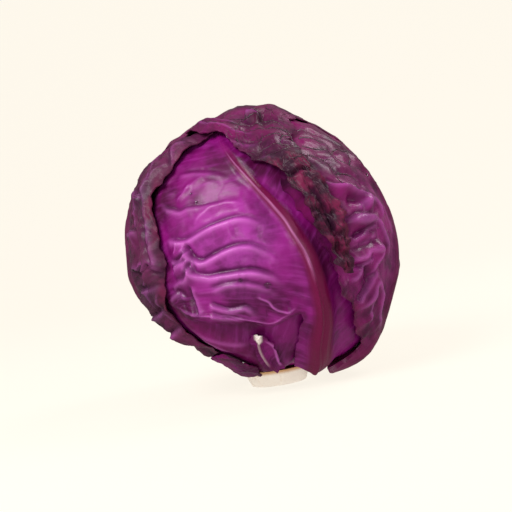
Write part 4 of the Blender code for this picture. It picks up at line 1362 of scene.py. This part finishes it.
class CABBAGE_OT_inner_leaves(bpy.types.Operator):
    """Makes the smooth leaf at the lower left and the leaf at the back, which the outer leaves lie on"""

    bl_idname = "cabbage.inner_leaves"
    bl_label = "Inner leaves"

    def execute(self, context):
        make_leaf("lower_left_leaf", context)
        return make_leaf("back_leaf", context)


class CABBAGE_OT_front_leaf(bpy.types.Operator):
    """Makes the puckered front leaf with its thick midrib"""

    bl_idname = "cabbage.front_leaf"
    bl_label = "Front leaf"

    def execute(self, context):
        return make_leaf("front_leaf", context)


class CABBAGE_OT_side_leaves(bpy.types.Operator):
    """Makes the dusty left leaf and the puckered right leaf"""

    bl_idname = "cabbage.side_leaves"
    bl_label = "Side leaves"

    def execute(self, context):
        make_leaf("left_leaf", context)
        return make_leaf("right_leaf", context)


class CABBAGE_OT_top_leaf(bpy.types.Operator):
    """Makes the leaf that comes over the crown and ends in a shrivelled strip"""

    bl_idname = "cabbage.top_leaf"
    bl_label = "Top leaf"

    def execute(self, context):
        return make_leaf("top_leaf", context)


class CABBAGE_OT_torn_leaves(bpy.types.Operator):
    """Makes the torn foot of a leaf and the torn end of a leaf stalk"""

    bl_idname = "cabbage.torn_leaves"
    bl_label = "Torn leaves"

    def execute(self, context):
        make_leaf("torn_foot", context)
        return make_leaf("torn_stalk", context)


class CABBAGE_OT_veins(bpy.types.Operator):
    """Lays the net of veins on the wrapper leaves that have veins, as thin tubes that stand out of the blade"""

    bl_idname = "cabbage.veins"
    bl_label = "Veins"

    def execute(self, context):
        sizes = context.scene.cabbage_sizes
        tree, material = vein_tree(), vein_finish(colour_values(context))
        values = {"Radius": sizes.vein_radius, "Sides": sizes.vein_sides, "Material": material}
        for leaf in LEAVES:
            if leaf.veins or leaf.net:
                piece = grown(leaf.name + "_veins", tree, vein_source(leaf, sizes.vein_radius), values)
                hold(piece, None)
        return {"FINISHED"}


class CABBAGE_OT_dew(bpy.types.Operator):
    """Puts the drops of water on the leaves: the ones in front where they stand, and a few all round"""

    bl_idname = "cabbage.dew"
    bl_label = "Dew"

    def execute(self, context):
        drops = [("front_leaf", -29, 28, 0.45), ("front_leaf", -26, 24, 0.50), ("front_leaf", 0, -13, 1.0),
                 ("front_leaf", -10, -9, 0.55)]
        rng = np.random.default_rng(41)
        for name, low, high in (("back_leaf", -185, -115), ("left_leaf", -125, -60), ("right_leaf", 55, 110)):
            for _ in range(DROPS_A_LEAF):
                drops.append((name, rng.uniform(low, high), rng.uniform(-25, 45), rng.uniform(0.25, 0.6)))
        points, outs, shares = [], [], []
        for name, azimuth, latitude, share in drops:
            leaf = leaf_named(name)
            table = leaf.upper
            nearness = unit(table - HEAD_CENTRE) @ direction(azimuth, latitude)
            i, j = np.unravel_index(np.argmax(nearness), nearness.shape)
            if leaf.free[i, j] < 0.9:
                continue
            i, j = min(max(i, 1), table.shape[0] - 2), min(max(j, 1), table.shape[1] - 2)
            out = unit(np.cross(table[i, j + 1] - table[i, j - 1], table[i + 1, j] - table[i - 1, j]))
            points.append(tuple(table[i, j]))
            outs.append(out)
            shares.append(share)
        mesh = bpy.data.meshes.new("dew_points")
        mesh.from_pydata(points, [], [])
        add_marks(mesh, "FLOAT", {"share": shares})
        add_marks(mesh, "FLOAT_VECTOR", {"out": outs})
        radius = context.scene.cabbage_sizes.drop_radius
        values = {"Radius": radius, "Flatness": 0.80, "Seed": 3, "Material": water_finish()}
        hold(grown("dew_drops", dew_tree(), mesh, values), None)
        return {"FINISHED"}


class CABBAGE_OT_stage(bpy.types.Operator):
    """Makes the paper sweep, the soft lights and the camera"""

    bl_idname = "cabbage.stage"
    bl_label = "Stage"

    def execute(self, context):
        scene = context.scene
        # The sweep's half width, how far it runs forwards and back, its wall's height and its bend's radius
        half, front, depth, wall, bend = 3.0, 3.0, 1.6, 3.2, 0.9
        profile = [(-front, 0.0), (depth - bend, 0.0)]
        for turn in np.linspace(0.1, math.pi / 2, 14):
            profile.append((depth - bend + bend * math.sin(turn), bend - bend * math.cos(turn)))
        profile.append((depth, wall))
        points = [(x, y, z) for y, z in profile for x in (-half, half)]
        faces = [(2 * i, 2 * i + 1, 2 * i + 3, 2 * i + 2) for i in range(len(profile) - 1)]
        sweep = link_mesh("paper_sweep", points, faces, stage_finish())
        sweep.visible_glossy = False
        world = bpy.data.worlds.new("studio")
        scene.world = world
        world.use_nodes = True
        world.node_tree.nodes["Background"].inputs["Color"].default_value = linear("#FFFBF4")
        world.node_tree.nodes["Background"].inputs["Strength"].default_value = 0.25
        middle = Vector(HEAD_CENTRE)
        for name, azimuth, latitude, distance, size, power in (
            ("key", -36, 40, 1.1, 0.62, 14.0),
            ("fill", 62, 20, 1.3, 0.80, 4.0),
            ("low_fill", -10, 4, 1.3, 0.30, 2.6),
            ("rim", 108, 46, 1.2, 0.60, 7.0),
        ):
            light = bpy.data.lights.new(name, "AREA")
            light.shape = "DISK"
            light.size = size
            light.energy = power
            lamp = bpy.data.objects.new(name, light)
            lamp.location = middle + Vector(direction(azimuth, latitude)) * distance
            lamp.rotation_euler = (lamp.location - middle).to_track_quat("Z", "Y").to_euler()
            lamp.visible_camera = False
            scene.collection.objects.link(lamp)
        elevation, roll = math.radians(CAMERA_ELEVATION), math.radians(CAMERA_ROLL)
        back = Vector((0, -math.cos(elevation), math.sin(elevation)))
        right = Vector((1, 0, 0))
        up = back.cross(right)
        x_axis = right * math.cos(roll) - up * math.sin(roll)
        y_axis = right * math.sin(roll) + up * math.cos(roll)
        camera = bpy.data.cameras.new("camera")
        camera.sensor_width = SENSOR_WIDTH
        camera.lens = PIXELS_PER_METRE * CAMERA_DISTANCE / FRAME_PIXELS * SENSOR_WIDTH
        camera.shift_x = -HEAD_RIGHT_PIXELS / FRAME_PIXELS
        camera.shift_y = -HEAD_UP_PIXELS / FRAME_PIXELS
        viewer = bpy.data.objects.new("camera", camera)
        place = Matrix((x_axis, y_axis, back)).transposed().to_4x4()
        place.translation = middle + back * CAMERA_DISTANCE
        viewer.matrix_world = place
        scene.collection.objects.link(viewer)
        scene.camera = viewer
        scene.view_settings.view_transform = "Standard"
        return {"FINISHED"}


OPERATORS = (
    CABBAGE_OT_stump,
    CABBAGE_OT_heart,
    CABBAGE_OT_inner_leaves,
    CABBAGE_OT_front_leaf,
    CABBAGE_OT_side_leaves,
    CABBAGE_OT_top_leaf,
    CABBAGE_OT_torn_leaves,
    CABBAGE_OT_veins,
    CABBAGE_OT_dew,
    CABBAGE_OT_stage,
)


class CABBAGE_PT_panel(bpy.types.Panel):
    """Lists the steps that build the cabbage"""

    bl_idname = "CABBAGE_PT_panel"
    bl_label = "Red cabbage"
    bl_space_type = "VIEW_3D"
    bl_region_type = "UI"
    bl_category = "Cabbage"

    def draw(self, context):
        for operator in OPERATORS:
            self.layout.operator(operator.bl_idname)
        for group in (context.scene.cabbage_sizes, context.scene.cabbage_colours):
            for key in group.__annotations__:
                self.layout.prop(group, key)


CLASSES = (CabbageSizes, CabbageColours, *OPERATORS, CABBAGE_PT_panel)


def register():
    for made in CLASSES:
        bpy.utils.register_class(made)
    bpy.types.Scene.cabbage_sizes = bpy.props.PointerProperty(type=CabbageSizes)
    bpy.types.Scene.cabbage_colours = bpy.props.PointerProperty(type=CabbageColours)


def unregister():
    del bpy.types.Scene.cabbage_colours
    del bpy.types.Scene.cabbage_sizes
    for made in reversed(CLASSES):
        bpy.utils.unregister_class(made)


def main():
    register()
    bpy.ops.cabbage.stump()
    bpy.ops.cabbage.heart()
    bpy.ops.cabbage.inner_leaves()
    bpy.ops.cabbage.front_leaf()
    bpy.ops.cabbage.side_leaves()
    bpy.ops.cabbage.top_leaf()
    bpy.ops.cabbage.torn_leaves()
    bpy.ops.cabbage.veins()
    bpy.ops.cabbage.dew()
    bpy.ops.cabbage.stage()


if __name__ == "__main__":
    main()
